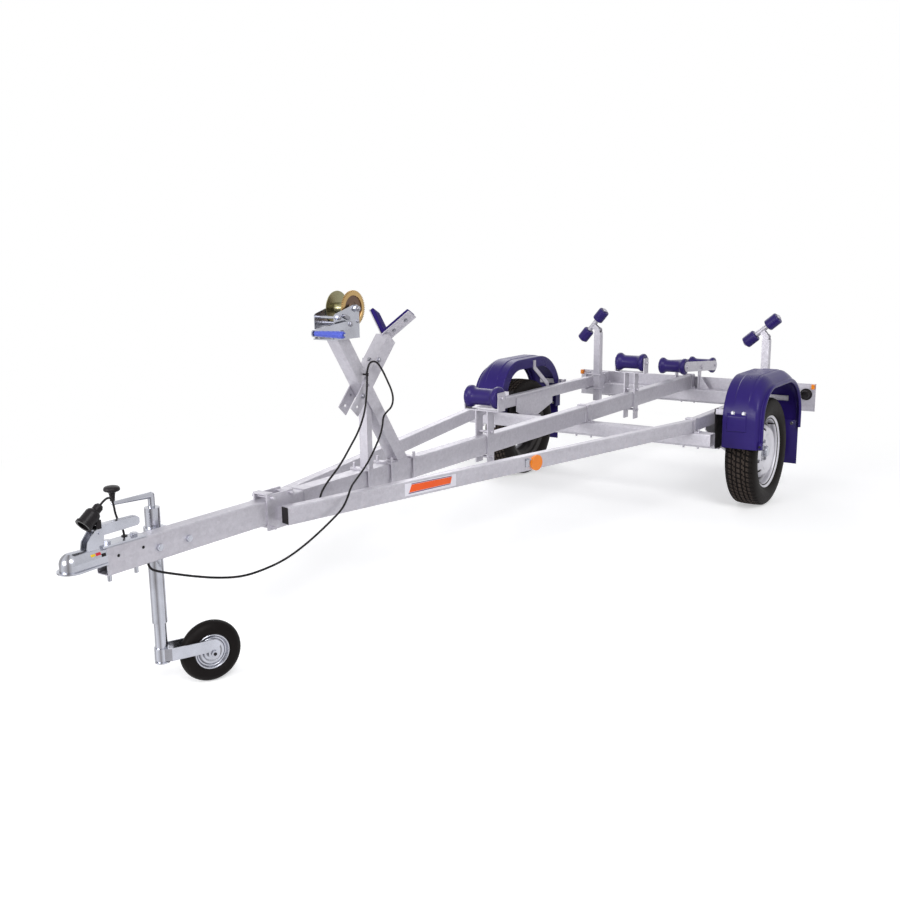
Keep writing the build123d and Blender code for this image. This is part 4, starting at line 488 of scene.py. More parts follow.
# %% Lamps
# name, place, point looked at, width, power in watts
LAMPS = (
    ("key", (6.2, 7.0, 8.0), (0.0, 0.0, 0.4), 6.0, 760.0),
    ("front", (8.5, -1.5, 2.6), (-0.5, 0.0, 0.5), 4.0, 420.0),
    ("far", (-4.6, -3.4, 4.0), (0.0, 0.0, 0.4), 4.0, 80.0),
)
for name, place, target, width, power in LAMPS:
    lamp_data = bpy.data.lights.new(name, "AREA")
    lamp_data.shape, lamp_data.size, lamp_data.energy = "DISK", width, power
    lamp = added(name, lamp_data)
    back = np.array(place) - np.array(target)
    back /= np.linalg.norm(back)
    side = np.cross((0, 0, 1), back)
    side /= np.linalg.norm(side)
    pose = np.eye(4)
    pose[:3, :] = np.column_stack([side, np.cross(back, side), back, place])
    lamp.matrix_world = Matrix(pose)
    print("lamp", name, power, "W")

# %% [markdown]
# ## Surfaces from numbers
# Every new piece is a sheet of points worked out with numpy: rows run one way
# over the shape and columns the other. A form is such a sheet's points with its
# four-cornered faces. Forms are moved, mirrored and joined as arrays, and only
# the finished one becomes a mesh.

# %% Forms
def skin(points, wrap_rows=False, wrap_columns=False, cap=False):
    """Faces over a grid of points [row, column]; cap closes both end rows to their middles."""
    rows, columns = points.shape[:2]
    index = np.arange(rows * columns).reshape(rows, columns)
    if wrap_rows:
        index = np.concatenate([index, index[:1]], 0)
    if wrap_columns:
        index = np.concatenate([index, index[:, :1]], 1)
    faces = np.stack([index[:-1, :-1], index[:-1, 1:], index[1:, 1:], index[1:, :-1]], -1).reshape(-1, 4)
    flat = points.reshape(-1, 3)
    if cap:
        ends = np.stack([points[0].mean(0), points[-1].mean(0)])
        first, last = index[0], index[-1]
        hub = np.full(len(first) - 1, len(flat))
        faces = np.concatenate(
            [
                faces,
                np.stack([hub, first[1:], first[:-1], first[:-1]], -1),
                np.stack([hub + 1, last[:-1], last[1:], last[1:]], -1),
            ]
        )
        flat = np.concatenate([flat, ends])
    return outward(flat, faces)


def outward(points, faces):
    """Turn every face round if the sheet's signed volume says that it is inside out."""
    a, b, c, d = (points[faces[:, corner]] for corner in range(4))
    volume = np.einsum("ij,ij->", a, np.cross(b, c)) + np.einsum("ij,ij->", a, np.cross(c, d))
    return (points, faces[:, ::-1]) if volume < 0 else (points, faces)


def joined(forms):
    """Several forms as one, with their point numbers shifted."""
    starts = np.cumsum([0] + [len(points) for points, _ in forms])
    return (
        np.concatenate([points for points, _ in forms]),
        np.concatenate([faces + start for (_, faces), start in zip(forms, starts)]),
    )


def moved(form, place=(0, 0, 0), axes=None):
    """A form turned so that its x, y, z follow the rows of axes, then moved to a place."""
    points, faces = form
    if axes is not None:
        points = points @ np.asarray(axes, float)
    return points + np.asarray(place, float), faces


def in_frame(form, place=(0, 0, 0)):
    """A form in millimetres, put on a place in the trailer's own numbers, in metres."""
    return at(*place) + form[0] / 1000, form[1]


def mirrored(form):
    """The same form on the other side of the trailer."""
    points, faces = form
    return points * (1, -1, 1), faces[:, ::-1]


def build(name, form, body, material, slot, replaced=(), sharp=35.0):
    """Make the mesh of a form and let it ride on a body.

    A triangle is a face whose corner is named twice. Its twin corners are rolled
    to the end, and the last one is left out.
    """
    points, faces = form
    faces = np.where((faces[:, 0] == faces[:, 1])[:, None], np.roll(faces, 2, 1), faces)
    triangles = faces[:, 2] == faces[:, 3]
    sizes = np.where(triangles, 3, 4)
    keep = np.ones(faces.shape, bool)
    keep[triangles, 3] = False
    starts = np.concatenate([[0], np.cumsum(sizes)[:-1]])
    mesh = bpy.data.meshes.new(name)
    mesh.vertices.add(len(points))
    mesh.vertices.foreach_set("co", np.asarray(points, np.float32).ravel())
    mesh.loops.add(int(sizes.sum()))
    mesh.loops.foreach_set("vertex_index", faces[keep].astype(np.int32))
    mesh.polygons.add(len(faces))
    mesh.polygons.foreach_set("loop_start", starts.astype(np.int32))
    mesh.polygons.foreach_set("loop_total", sizes.astype(np.int32))
    mesh.update(calc_edges=True)
    mesh.validate()
    mesh.polygons.foreach_set("use_smooth", np.ones(len(mesh.polygons), bool))
    mesh.set_sharp_from_angle(angle=math.radians(sharp))
    mesh.materials.append(material)
    piece = added(name, mesh)
    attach(piece, body)
    if replaced:
        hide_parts(*replaced)
    print(name, len(faces), "faces")


# %% [markdown]
# Two recipes make most shapes. A turned form spins a line of (radius, place)
# pairs about an axis, as on a lathe. A smooth line runs through a few chosen
# points: between two of them it follows a cubic whose slope at each point is
# half the step from the point before to the point after.

# %% Smooth lines and turned forms
def smooth_line(points, steps):
    """Points on the cubic through the given ones, with so many steps in each span."""
    points = np.asarray(points, float)
    padded = np.concatenate([2 * points[:1] - points[1:2], points, 2 * points[-1:] - points[-2:-1]])
    share = np.linspace(0, 1, steps, endpoint=False)[None, :, None]
    before, start, finish, after = (padded[k : len(padded) - 3 + k][:, None, :] for k in range(4))
    curve = 0.5 * (
        2 * start
        + (finish - before) * share
        + (2 * before - 5 * start + 4 * finish - after) * share**2
        + (3 * start - before - 3 * finish + after) * share**3
    )
    return np.concatenate([curve.reshape(-1, points.shape[1]), points[-1:]])


def symmetric(half, *middle):
    """A line of (radius, place), the points at its middle, and its mirror image backwards."""
    half = np.array(half, float)
    return np.concatenate([half, *[[point] for point in middle], half[::-1] * (1, -1)])


def full_turn(steps):
    """Evenly spaced angles round a circle."""
    return np.arange(steps) * 2 * math.pi / steps


def spun(radius, place, angle):
    """Points round Y: x = radius cos t, y = place, z = radius sin t."""
    radius, place, angle = np.broadcast_arrays(radius, place, angle)
    return np.stack([radius * np.cos(angle), place, radius * np.sin(angle)], -1)


def turned(line, steps, closed=False):
    """A line of (radius, place) spun about Y; an open line is closed by caps."""
    line = np.asarray(line, float)
    points = spun(line[:, :1], line[:, 1:], full_turn(steps))
    return skin(points, wrap_rows=closed, wrap_columns=True, cap=not closed)


def leaning(body_y):
    """Rows of a frame whose y runs along the given direction."""
    y = np.asarray(body_y, float)
    y = y / np.linalg.norm(y)
    x = np.cross(y, (0, 0, 1.0))
    if np.linalg.norm(x) < 0.1:
        x = np.cross(y, (1.0, 0, 0))
    x /= np.linalg.norm(x)
    return np.stack([x, y, np.cross(x, y)])


print("form helpers ready")

# %% [markdown]
# ## Tyres
# A road tyre is a closed section carried round the wheel. The section bulges at
# the sidewalls and is nearly flat across the tread. The tread pattern is a change
# of radius: long grooves are narrow dips across the width, and the blocks
# between them are cut by slanted slots that repeat sixty times round the tyre.

# %% Road tyre section
TYRE_RADIUS, TREAD_DEPTH = 0.27345, 0.0068
WHEEL = (0, 695, AXLE_HEIGHT)
# middle and width of each long groove
GROOVES = ((-0.0335, 0.0062), (-0.0115, 0.0070), (0.0115, 0.0070), (0.0335, 0.0062))
WALL_RINGS = (0.2050, 0.2330, 0.2500)
# radius, distance from the middle plane
wall = smooth_line(
    [
        (0.1655, 0.0545), (0.1815, 0.0575), (0.1860, 0.0640), (0.2020, 0.0735), (0.2240, 0.0775),
        (0.2440, 0.0755), (0.2580, 0.0700), (0.2665, 0.0625), (0.2705, 0.0560),
    ],
    4,
)
crown_side = np.linspace(0.0550, -0.0550, 89)
crown = np.column_stack([TYRE_RADIUS - 0.0030 * np.abs(crown_side / 0.055) ** 3, crown_side])
lining_half = [(0.1655, -0.046), (0.196, -0.058), (0.226, -0.066), (0.256, -0.048)]
lining = smooth_line(symmetric(lining_half, (0.260, 0.0)), 3)
section = np.concatenate([wall, crown, wall[::-1] * (1, -1), lining])
print("tyre section", len(section), "points")


def within(distance, reach, edge):
    """1 where a distance is under a reach and 0 beyond it, over a sloping edge."""
    return np.clip((reach - distance) / edge + 0.5, 0, 1)


def road_tyre(turns=60, columns=9):
    """The section spun round, with the tread cut into it.

    A groove is a dip 7 mm deep where |y - its middle| is under half its width.
    A slot is the same in angle: its middle leans with y and repeats `turns` times.
    A ring on the wall adds 0.6 mm times e to the minus (distance / 1.6 mm) squared.
    """
    angle = full_turn(turns * columns)
    start, side = section[:, :1], section[:, 1:]
    outwards = np.abs(side)
    depth = np.zeros((len(section), len(angle)))
    for middle, width in GROOVES:
        depth = np.maximum(depth, within(np.abs(side - middle), width / 2, 0.0012))
    lean = 0.55 * side / 0.055 + 0.22 * np.sign(side) * (outwards > 0.0225)
    phase = (angle * turns / (2 * math.pi) + lean) % 1.0
    slot = within(np.abs(phase - 0.5), 0.14, 0.05)
    sipe = within(np.abs(((phase + 0.5) % 1.0) - 0.5), 0.03, 0.03) * 0.5
    between = (outwards > 0.0150) | (outwards < 0.0080)
    depth = np.maximum(depth, np.maximum(slot * between * 0.85, sipe * 0.6))
    on_tread = (outwards < 0.0665) & (start > 0.2640)
    radius = start - TREAD_DEPTH * depth * on_tread
    for ring in WALL_RINGS:
        radius = radius + 0.0006 * np.exp(-(((start - ring) / 0.0016) ** 2)) * (outwards > 0.06)
    return skin(spun(radius, side, angle), wrap_rows=True, wrap_columns=True)


left_tyre = moved(road_tyre(), at(*WHEEL))
for side_name, form in (("left", left_tyre), ("right", mirrored(left_tyre))):
    gone = (side_name + "_tyre",)
    build(side_name + "_road_tyre", form, side_name + "_wheel", TYRE, "tyre_rubber", gone)

# %% [markdown]
# The jockey wheel's tyre is solid rubber with a plain round section, so half a
# line and its mirror image are enough. It stands in the fork, which is turned a
# little to the side, and its axis follows the fork's heading.

# %% Jockey tyre
FORK_HEADING, FORK_REACH = math.radians(-22.0), 150
JOCKEY_AXIS = np.array([-math.sin(FORK_HEADING), math.cos(FORK_HEADING), 0.0])
JOCKEY = at(3168 - FORK_REACH * math.cos(FORK_HEADING), -62 - FORK_REACH * math.sin(FORK_HEADING), 97)
jockey_half = [
    (0.0560, -0.0180), (0.0600, -0.0225), (0.0700, -0.0230), (0.0810, -0.0215), (0.0900, -0.0160),
    (0.0950, -0.0080),
]
jockey_line = smooth_line(symmetric(jockey_half, (0.0969, 0.0)), 5)
jockey_form = moved(turned(jockey_line, 96, closed=True), JOCKEY, leaning(JOCKEY_AXIS))
build("jockey_wheel_tyre", jockey_form, "jockey_wheel", JOCKEY_RUBBER, "tyre_rubber", ("jockey_tyre",))

# %% [markdown]
# ## Rollers
# The keel rollers are moulded in one piece with flared ends, so the keel finds
# the middle. The section is one smooth line from end to end. All four share it.

# %% Keel rollers
roller_half = [
    (0.0085, -0.0780), (0.0360, -0.0780), (0.0425, -0.0770), (0.0465, -0.0725), (0.0469, -0.0650),
    (0.0460, -0.0590), (0.0400, -0.0500), (0.0370, -0.0430), (0.0355, -0.0330),
]
roller_line = smooth_line(symmetric(roller_half, (0.0352, 0.0)), 4)
roller_bore = [(0.0083, 0.0770), (0.0083, -0.0770)]
roller_form = turned(np.concatenate([roller_line, roller_bore]), 72, closed=True)
KEEL_ROLLERS = {
    "keel_roller_front": (1462, 0, 683),
    "keel_roller_middle": (-4, 0, 683),
    "rocker_roller_front": (-588, 0, 600),
    "rocker_roller_rear": (-1048, 0, 562),
}
for body, place in KEEL_ROLLERS.items():
    roller = moved(roller_form, at(*place))
    build(body + "_moulding", roller, body, ROLLER_BLUE, "indigo_rubber", (body,))

# %% [markdown]
# A side roller is a plain drum with round edges. Two of them turn on one pin that
# leans with its cradle: the pin runs along (0, cos t, sin t), and it lies a little
# above the cradle's pivot, square to itself.

# %% Side rollers
side_half = [
    (0.0085, -0.0370), (0.0230, -0.0370), (0.0295, -0.0360), (0.0325, -0.0320), (0.0330, -0.0250),
]
side_line = smooth_line(symmetric(side_half), 4)
side_bore = [(0.0083, 0.0360), (0.0083, -0.0360)]
side_form = turned(np.concatenate([side_line, side_bore]), 64, closed=True)
POST_X, POST_Y, CRADLE_Z = -650.0, 517.7, 786.0
SIDE_ROLLER_RISE, SIDE_ROLLER_MIDDLE = 0.046, 0.078
for side_name, side, lean in (("left", 1, 40.0), ("right", -1, 50.0)):
    tilt = math.radians(lean)
    along = np.array([0.0, math.cos(tilt), math.sin(tilt)])
    rise = np.array([0.0, -math.sin(tilt), math.cos(tilt)])
    pivot = at(POST_X, side * POST_Y, CRADLE_Z)
    places = [pivot + rise * SIDE_ROLLER_RISE + along * end * SIDE_ROLLER_MIDDLE for end in (1, -1)]
    pair = joined([moved(side_form, place, leaning(along)) for place in places])
    body = side_name + "_side_rollers"
    build(body + "_moulding", pair, body, ROLLER_BLUE, "indigo_rubber", (body,))

# %% [markdown]
# ## Mudguards
# Each mudguard is one moulding, pressed over a form from a warm sheet. Its
# section has an inner wall, a broad top with a slightly raised middle band, a
# round shoulder, a short outer wall and a rolled lip that keeps the edge stiff.
# The same section is carried along the arch, and the second face of the sheet is
# the first one moved along its normals by the sheet's thickness.

# %% The arch and the section of a mudguard
ARCH_FRONT, ARCH_REAR, ARCH_TOP = 310.0, -360.0, 672.0
FRONT_BEND, REAR_BEND = 200.0, 250.0
GUARD_INNER, GUARD_OUTER, LIP_OUTER = 621.0, 798.0, 816.0
SHEET = 4.0


def arch(front_foot, rear_foot):
    """Points (x, z) along the arch, each with the unit step inwards.

    Two upright lines, a level top, and two quarter circles between them:
    x = middle + R cos t, z = middle + R sin t.
    """
    rise = np.linspace(front_foot, ARCH_TOP - FRONT_BEND, 92)
    level = np.linspace(ARCH_FRONT - FRONT_BEND, ARCH_REAR + REAR_BEND, 10)[1:]
    fall = np.linspace(ARCH_TOP - REAR_BEND, rear_foot, 10)[1:]
    turn = np.linspace(0, math.pi / 2, 45)[1:]
    ring = np.stack([np.cos(turn), np.sin(turn)], 1)
    first = ring * FRONT_BEND + (ARCH_FRONT - FRONT_BEND, ARCH_TOP - FRONT_BEND)
    ring_back = np.stack([-np.sin(turn), np.cos(turn)], 1)
    last = ring_back * REAR_BEND + (ARCH_REAR + REAR_BEND, ARCH_TOP - REAR_BEND)
    parts = ((ARCH_FRONT, rise, -1, 0), (*first.T, *-ring.T), (level, ARCH_TOP, 0, -1))
    parts += ((*last.T, *-ring_back.T), (ARCH_REAR, fall, 1, 0))
    return np.concatenate([np.stack(np.broadcast_arrays(*part), 1) for part in parts])


def quarter(middle, radius, start, end, steps):
    """Part of a circle in the section, as (inset, y): 0 degrees points outwards, 90 up."""
    turn = np.radians(np.linspace(start, end, steps))
    return np.stack([middle[0] - radius * np.sin(turn), middle[1] + radius * np.cos(turn)], 1)


section_top = np.stack([np.zeros(98), np.linspace(GUARD_INNER + 6.5, GUARD_OUTER - 21, 98)], 1)
guard_section = np.concatenate(
    [
        [(56.0, GUARD_INNER), (38.0, GUARD_INNER), (20.0, GUARD_INNER)],
        quarter((6.0, GUARD_INNER + 6), 6, 180, 95, 6),
        section_top,
        quarter((20.0, GUARD_OUTER - 20), 20, 85, 16, 8),
        smooth_line([(16.5, GUARD_OUTER + 0.3), (18.8, GUARD_OUTER + 3), (18.2, GUARD_OUTER + 6.5)], 3),
        quarter((26.0, LIP_OUTER - 11.5), 11.5, 62, -78, 11),
    ]
)


def soft_step(value, edge, width):
    """0 before the edge and 1 after it, by 3 t squared less 2 t cubed in between."""
    share = np.clip((value - edge) / width + 0.5, 0, 1)
    return share * share * (3 - 2 * share)


def soft_box(value, low, high, width):
    """1 between two edges, 0 outside them."""
    return soft_step(value, low, width) * (1 - soft_step(value, high, width))


def facing(form, direction):
    """Turn round each face whose normal points against the direction."""
    points, faces = form
    a, b, c = (points[faces[:, corner]] for corner in range(3))
    against = np.einsum("ij,j->i", np.cross(b - a, c - a), np.asarray(direction, float)) < 0
    return points, np.where(against[:, None], faces[:, ::-1], faces)


slope = np.gradient(guard_section, axis=0)
slope /= np.linalg.norm(slope, axis=1)[:, None]
section_back = guard_section + SHEET * np.stack([slope[:, 1], -slope[:, 0]], 1)
print("guard section", len(guard_section), "points")

# %% [markdown]
# The raised band and the panel under the bolts are a change of inset on the outer
# face alone. Both are products of soft steps across the width and up the height,
# so every edge has a small round slope, as a pressed sheet has.

# %% Mudguards
line = arch(335.0, 352.0)
width_y = guard_section[None, :, 1] + np.zeros((len(line), 1))
height = line[:, 1:2] + np.zeros((1, len(guard_section)))
at_front = line[:, :1] > 0
# low edge, high edge and slope of the band's width, the panel's width and the panel's height
BAND, PANEL, PANEL_RISE = (672, 741, 6), (646, 738, 4), (418, 499, 4)
BAND_LIFT, PANEL_LIFT, LIP_DROP = 3.0, 6.0, 24
band_end = np.where(at_front, soft_step(height, 560, 60), soft_step(height, 430, 60))
band = soft_box(width_y, *BAND) * band_end
panel = soft_box(width_y, *PANEL) * soft_box(height, *PANEL_RISE) * at_front
is_top = (np.abs(guard_section[:, 0]) < 0.01)[None, :]
outer_inset = guard_section[None, :, 0] - is_top * (BAND_LIFT * band + PANEL_LIFT * panel)
inner_inset = section_back[None, ::-1, 0] + np.zeros((len(line), 1))
# the shoulder widens and the lip hangs lower over the top of the wheel
fall_share = np.clip((line[:, 1:2] - 470) / 202, 0, 1) ** 1.5


def lowered(insets, widths):
    """Insets that grow towards the outer side, by up to 24 mm at the arch's top."""
    return insets + fall_share * LIP_DROP * soft_step(widths, GUARD_OUTER - 22, 46)


outer_inset = lowered(outer_inset, guard_section[None, :, 1])
inner_inset = lowered(inner_inset, section_back[None, ::-1, 1])
inset = np.concatenate([outer_inset, inner_inset], 1)
across_y = np.concatenate([width_y, section_back[None, ::-1, 1] + np.zeros((len(line), 1))], 1)
grid = np.stack([line[:, :1] + line[:, 2:3] * inset, across_y, line[:, 1:2] + line[:, 3:] * inset], -1)
shell = skin(grid, wrap_columns=True)
columns = grid.shape[1]
pair = np.arange(columns // 2 - 1)
quad = np.stack([pair, pair + 1, columns - 2 - pair, columns - 1 - pair], 1)
ends = facing((shell[0], np.concatenate([quad, quad + (len(line) - 1) * columns])), (0, 0, -1))[1]
shell = (shell[0], np.concatenate([shell[1], ends]))


def box(low, high, edge=0.8):
    """A box with its edges cut off: four rings of a rounded rectangle, closed at both ends."""
    low, high = np.asarray(low, float), np.asarray(high, float)
    rings = []
    for height_share, cut in ((0, edge), (0, 0), (1, 0), (1, edge)):
        (x0, y0), (x1, y1) = low[:2] + cut, high[:2] - cut
        z = low[2] + (high[2] - low[2]) * height_share + (edge - cut) * (1 - 2 * height_share)
        c = edge if cut == 0 else edge * 0.4
        x = [x0 + c, x1 - c, x1, x1, x1 - c, x0 + c, x0, x0]
        y = [y0, y0, y0 + c, y1 - c, y1, y1, y1 - c, y0 + c]
        rings.append(np.column_stack([x, y, np.full(8, z)]))
    return skin(np.array(rings), wrap_columns=True, cap=True)


flap = box((-356, 634, 150), (-352, 798, 384), 1.0)
lip_foot = box((288, 797, 335), (306, 816, 372), 5.0)
left_guard = in_frame(joined([shell, flap, lip_foot]))
for name, form in (("left_mudguard", left_guard), ("right_mudguard", mirrored(left_guard))):
    build(name, form, "trailer", GUARD_BLUE, "indigo_plastic", ("guards",), sharp=50.0)

# %% [markdown]
# ## Road wheels
# A pressed disc is welded into a rolled rim. The rim's section curls over at the
# edge and steps down to the well. The disc bulges round the hub, and a ring of
# round vents is punched where it falls away. Around each vent the sheet is
# worked out as a square-to-circle mesh: every point slides from the vent's edge
# to the edge of its own sector.

# %% Rim section and disc profile
# radius, distance from the wheel's middle plane
rim_outer = smooth_line(
    [
        (182.4, 55.0), (182.5, 60.0), (180.5, 62.0), (177.5, 61.0), (173.0, 57.0), (170.0, 54.6),
        (166.5, 53.6), (162.5, 50.0), (161.0, 44.0), (161.0, 30.0), (158.0, 23.0), (150.0, 14.0),
        (145.0, 8.0), (144.0, 0.0), (144.0, -26.0), (147.0, -32.0), (161.0, -41.0), (161.5, -52.0),
        (168.0, -56.0), (176.0, -58.0), (180.5, -61.9), (182.5, -60.0), (182.4, -55.0),
    ],
    3,
)
rim_back = [
    (179.0, -57.5), (168.0, -54.0), (165.0, -50.0), (165.0, -38.0), (148.0, -28.0), (148.0, 8.0),
    (165.0, 24.0), (165.0, 50.0), (170.0, 52.0), (179.0, 57.5),
]
disc_profile = smooth_line(
    [
        (30, 34), (44, 34), (60, 34), (70, 36.5), (78, 43.5), (86, 50.5), (96, 56), (105, 57.5),
        (112, 56), (119, 51.5), (128, 40), (137, 20), (145.5, -2),
    ],
    6,
)
VENTS, VENT_CIRCLE, VENT_RADIUS, DISC_SHEET = 12, 121.0, 10.0, 4.0


def disc_sheet(radius, angle):
    """Both faces of the disc over polar points: the profile gives y from the radius."""
    front = spun(radius, np.interp(radius, disc_profile[:, 0], disc_profile[:, 1]), angle)
    return front, front - (0, DISC_SHEET, 0)


parts = []
for inner, outer, rings in ((30.0, 107.5, 34), (134.0, 145.4, 6)):
    ring_grid = np.meshgrid(np.linspace(inner, outer, rings), full_turn(96), indexing="ij")
    front, back = disc_sheet(*ring_grid)
    parts.append(skin(np.concatenate([front, back[::-1]]), wrap_rows=True, wrap_columns=True))

# the sector round one vent reaches half_band inwards and outwards, half_sector sideways
half_band, half_sector = 13.4, VENT_CIRCLE * math.pi / VENTS
turn = (np.arange(48) + 0.5) * 2 * math.pi / 48
reach = np.minimum(half_band / np.abs(np.sin(turn)), half_sector / np.abs(np.cos(turn)))
share = np.linspace(0, 1, 5)[:, None] ** 1.3
slide = VENT_RADIUS + (reach - VENT_RADIUS)[None, :] * share
for vent in range(VENTS):
    radius = VENT_CIRCLE - 0.2 + slide * np.sin(turn)
    angle = 2 * math.pi * (vent + 0.5) / VENTS + slide * np.cos(turn) / VENT_CIRCLE
    front, back = disc_sheet(radius, angle)
    parts.append(skin(np.concatenate([back[::-1], front]), wrap_columns=True))
disc_form = joined(parts)
rim_form = turned(np.concatenate([rim_outer, rim_back]), 96, closed=True)
print("disc", len(disc_form[0]), "points")

# %% [markdown]
# Five wheel bolts sit round the hub. A hexagon is simply a turned form with six
# steps, and a washer, a cone seat or a thread is the same with more steps, so one
# recipe gives every fastener. A valve stem comes through the rim.

# %% Fasteners as turned forms
def bolt(size, tail=0.0, washer=True):
    """A hexagon head that stands on y = 0, a washer under it, and a thread's end."""
    wide, tall = size * 0.95, size * 0.62
    forms, base = [], 0.0
    if washer:
        base = size * 0.16
        forms.append(turned([(size * 1.15, 0), (size * 1.15, base * 0.7), (size * 1.08, base)], 20))
    forms.append(turned([(wide, base), (wide, base + tall * 0.8), (wide * 0.86, base + tall)], 6))
    if tail:
        thread = [(size * 0.5, base + tall * 0.5), (size * 0.5, tail - size * 0.12), (size * 0.4, tail)]
        forms.append(turned(thread, 12))
    return joined(forms)


def placed(form, place, direction):
    """A form in millimetres, set on a place with its y along a direction, in metres."""
    return in_frame(moved(form, axes=leaning(direction)), place)


HUB_FACE, STUD_RING, STUDS = 33.9, 49, 5
wheel_bolt = joined(
    [
        turned([(10.5, 0), (10.5, 2), (8.6, 4)], 18),
        moved(bolt(8.8, washer=False), (0, 3.6, 0)),
        turned([(5.6, 8), (5.6, 9.6), (3.6, 10.2)], 12),
    ]
)
stud_places = spun(STUD_RING, HUB_FACE, full_turn(STUDS) + 0.4)
wheel_bolts = joined([moved(wheel_bolt, place) for place in stud_places])
cover_line = [
    (29.5, 34.0), (29.5, 37.0), (27.4, 38.6), (26.6, 41.0), (26.6, 54.0), (25.0, 58.5), (20.5, 61.0),
    (12.0, 61.8), (0.4, 62.0),
]
valve_line = smooth_line([(5.4, 0), (5.4, 5), (4.2, 9), (3.8, 22), (3.2, 26), (3.2, 34)], 3)
valve = moved(turned(valve_line, 16), spun(157, 24, 2.2))
wheel_details = (
    ("_rim_detail", joined([rim_form, disc_form]), SILVER, "silver_paint", 38.0),
    ("_wheel_bolts_detail", wheel_bolts, BOLT_ZINC, "bright_zinc", 38.0),
    ("_valve_detail", valve, BLACK_PLASTIC, "black_plastic", 38.0),
    ("_hub_cover", turned(smooth_line(cover_line, 4), 48), BRIGHT_ZINC, "bright_zinc", 35.0),
)
for side_name, flipped in (("left", False), ("right", True)):
    for name, form, material, slot, sharp in wheel_details:
        form = in_frame(form, WHEEL)
        form = mirrored(form) if flipped else form
        gone = (side_name + "_rim",) if name == "_rim_detail" else ()
        build(side_name + name, form, side_name + "_wheel", material, slot, gone, sharp)

# %% [markdown]
# ## Fasteners on the frame
# A dipped frame is bolted together, never welded, after its zinc bath. Each bolt
# is named by its place, the way it faces and its size. The V at the bow has bolts
# through its slanting wings, so their places are worked out along each wing.

# %% Bolts that hold the brackets
WING_FOOT = np.array([2127.0, 0.0, 989.0])
BOW_OUT = np.array([0.7327, 0.0, 0.6806])
WING_UP, WING_ACROSS = np.array([-0.4848, 0.0, 0.8746]), np.array([0.8746, 0.0, 0.4848])
WING_COS, WING_SIN = 0.6837, 0.7298
# place, way it faces, size, length of the thread's end
fasteners = [((2222.1, 0, 916.3), BOW_OUT, 7.0, 0)]
guard_slant = (0.985, 0, 0.17)
for side in (1, -1):
    for y in (671, 724):
        fasteners.append(((307.1, side * y, 506), guard_slant, 9.0, 0))
    for y in (668, 716, 764):
        fasteners.append(((-352, side * y, 366), (1, 0, 0), 7.5, 0))
        fasteners.append(((-360, side * y, 366), (-1, 0, 0), 7.0, 14))
    for y in (655, 735):
        fasteners.append(((-360, side * y, 500), (-1, 0, 0), 8.0, 0))
    fasteners.append(((-320, side * 584.3, 474), (0, side, 0), 9.0, 16))
    for x, z in ((2204, 914), (2299.2, 796.4)):
        fasteners.append(((x, side * 29.3, z), (0, side, 0), 8.5, 0 if side > 0 else 15))
    wing_along = np.array([0, side * WING_COS, 0]) + WING_SIN * WING_UP
    wing_out = np.array([0, side * WING_SIN, 0]) - WING_COS * WING_UP
    for reach in (40, 97):
        fasteners.append((WING_FOOT + wing_out * 4 + wing_along * reach, wing_out, 6.5, 0))
for x, y in ((2446, -30), (2446, 30), (2340, -30)):
    fasteners.append(((x, y, 1008.6), (0, 0, 1), 7.5, 0))
bolt_forms = [placed(bolt(size, tail), place, direction) for place, direction, size, tail in fasteners]
build("frame_fasteners", joined(bolt_forms), "trailer", BOLT_ZINC, "bright_zinc", sharp=30.0)

# %% [markdown]
# ## Rear stays of the mudguards
# At the back each mudguard hangs from a flat bar. It is bolted to a plate on the
# rail's outer face and runs sideways under the arch, clear of the tyre.

# %% Rear stays
STAY_BOXES = (
    ((-337, 578.3, 486), (-331, 745, 514)),
    ((-352, 578.3, 446), (-296, 584.3, 514)),
    ((-356, 640, 486), (-331, 742, 489)),
)
left_stay = in_frame(joined([box(*ends) for ends in STAY_BOXES]))
build("guard_stays", joined([left_stay, mirrored(left_stay)]), "trailer", GALVANISED, "galvanised")

# %% [markdown]
# ## Weld beads
# The posts that carry the winch and the bow are welded at their feet before the
# zinc bath. A weld is a row of overlapping drops: here a thin tube whose radius
# rises and falls by a tenth, once in every four millimetres.

# %% Beads along straight joints
def bead(start, end, radius=2.6):
    """A tube from start to end; radius = R (1 + 0.1 cos(2 pi s / 4 mm)) at distance s."""
    start, end = np.asarray(start, float), np.asarray(end, float)
    length = np.linalg.norm(end - start)
    reach = np.linspace(0, length, max(int(length), 8))
    size = radius * (1 + 0.1 * np.cos(2 * math.pi * reach / 4.0))
    size[0] = size[-1] = radius * 0.3
    line = np.column_stack([size, reach])
    return placed(turned(line, 10), start, end - start)


arm_front, arm_back = 2101.0, 2041.0
beads = []
for side in (1, -1):
    beads.append(bead((arm_back, side * 25.5, 527), (arm_front, side * 25.5, 527)))
    beads.append(bead((2240, side * 18.5, 527), (2268, side * 18.5, 527)))
    for x in (515, 575):
        beads.append(bead((x, side * 25.4, 444), (x, side * 25.4, 500)))
    for z in (352, 508):
        beads.append(bead((-869, side * 500, z - 2), (-869, side * 440, z - 2), 1.8))
beads.append(bead((arm_front + 4, -25, 527), (arm_front + 4, 25, 527)))
build("weld_beads", joined(beads), "trailer", GALVANISED, "galvanised", sharp=60.0)

# %% [markdown]
# ## Markings and small plastic
# The left rail carries a blank white label with an orange band between two dark
# lines. Each is a thin leaf: a flat ring of corners lifted off the face by a
# fraction of a millimetre, with a second ring just inside it for the edge.

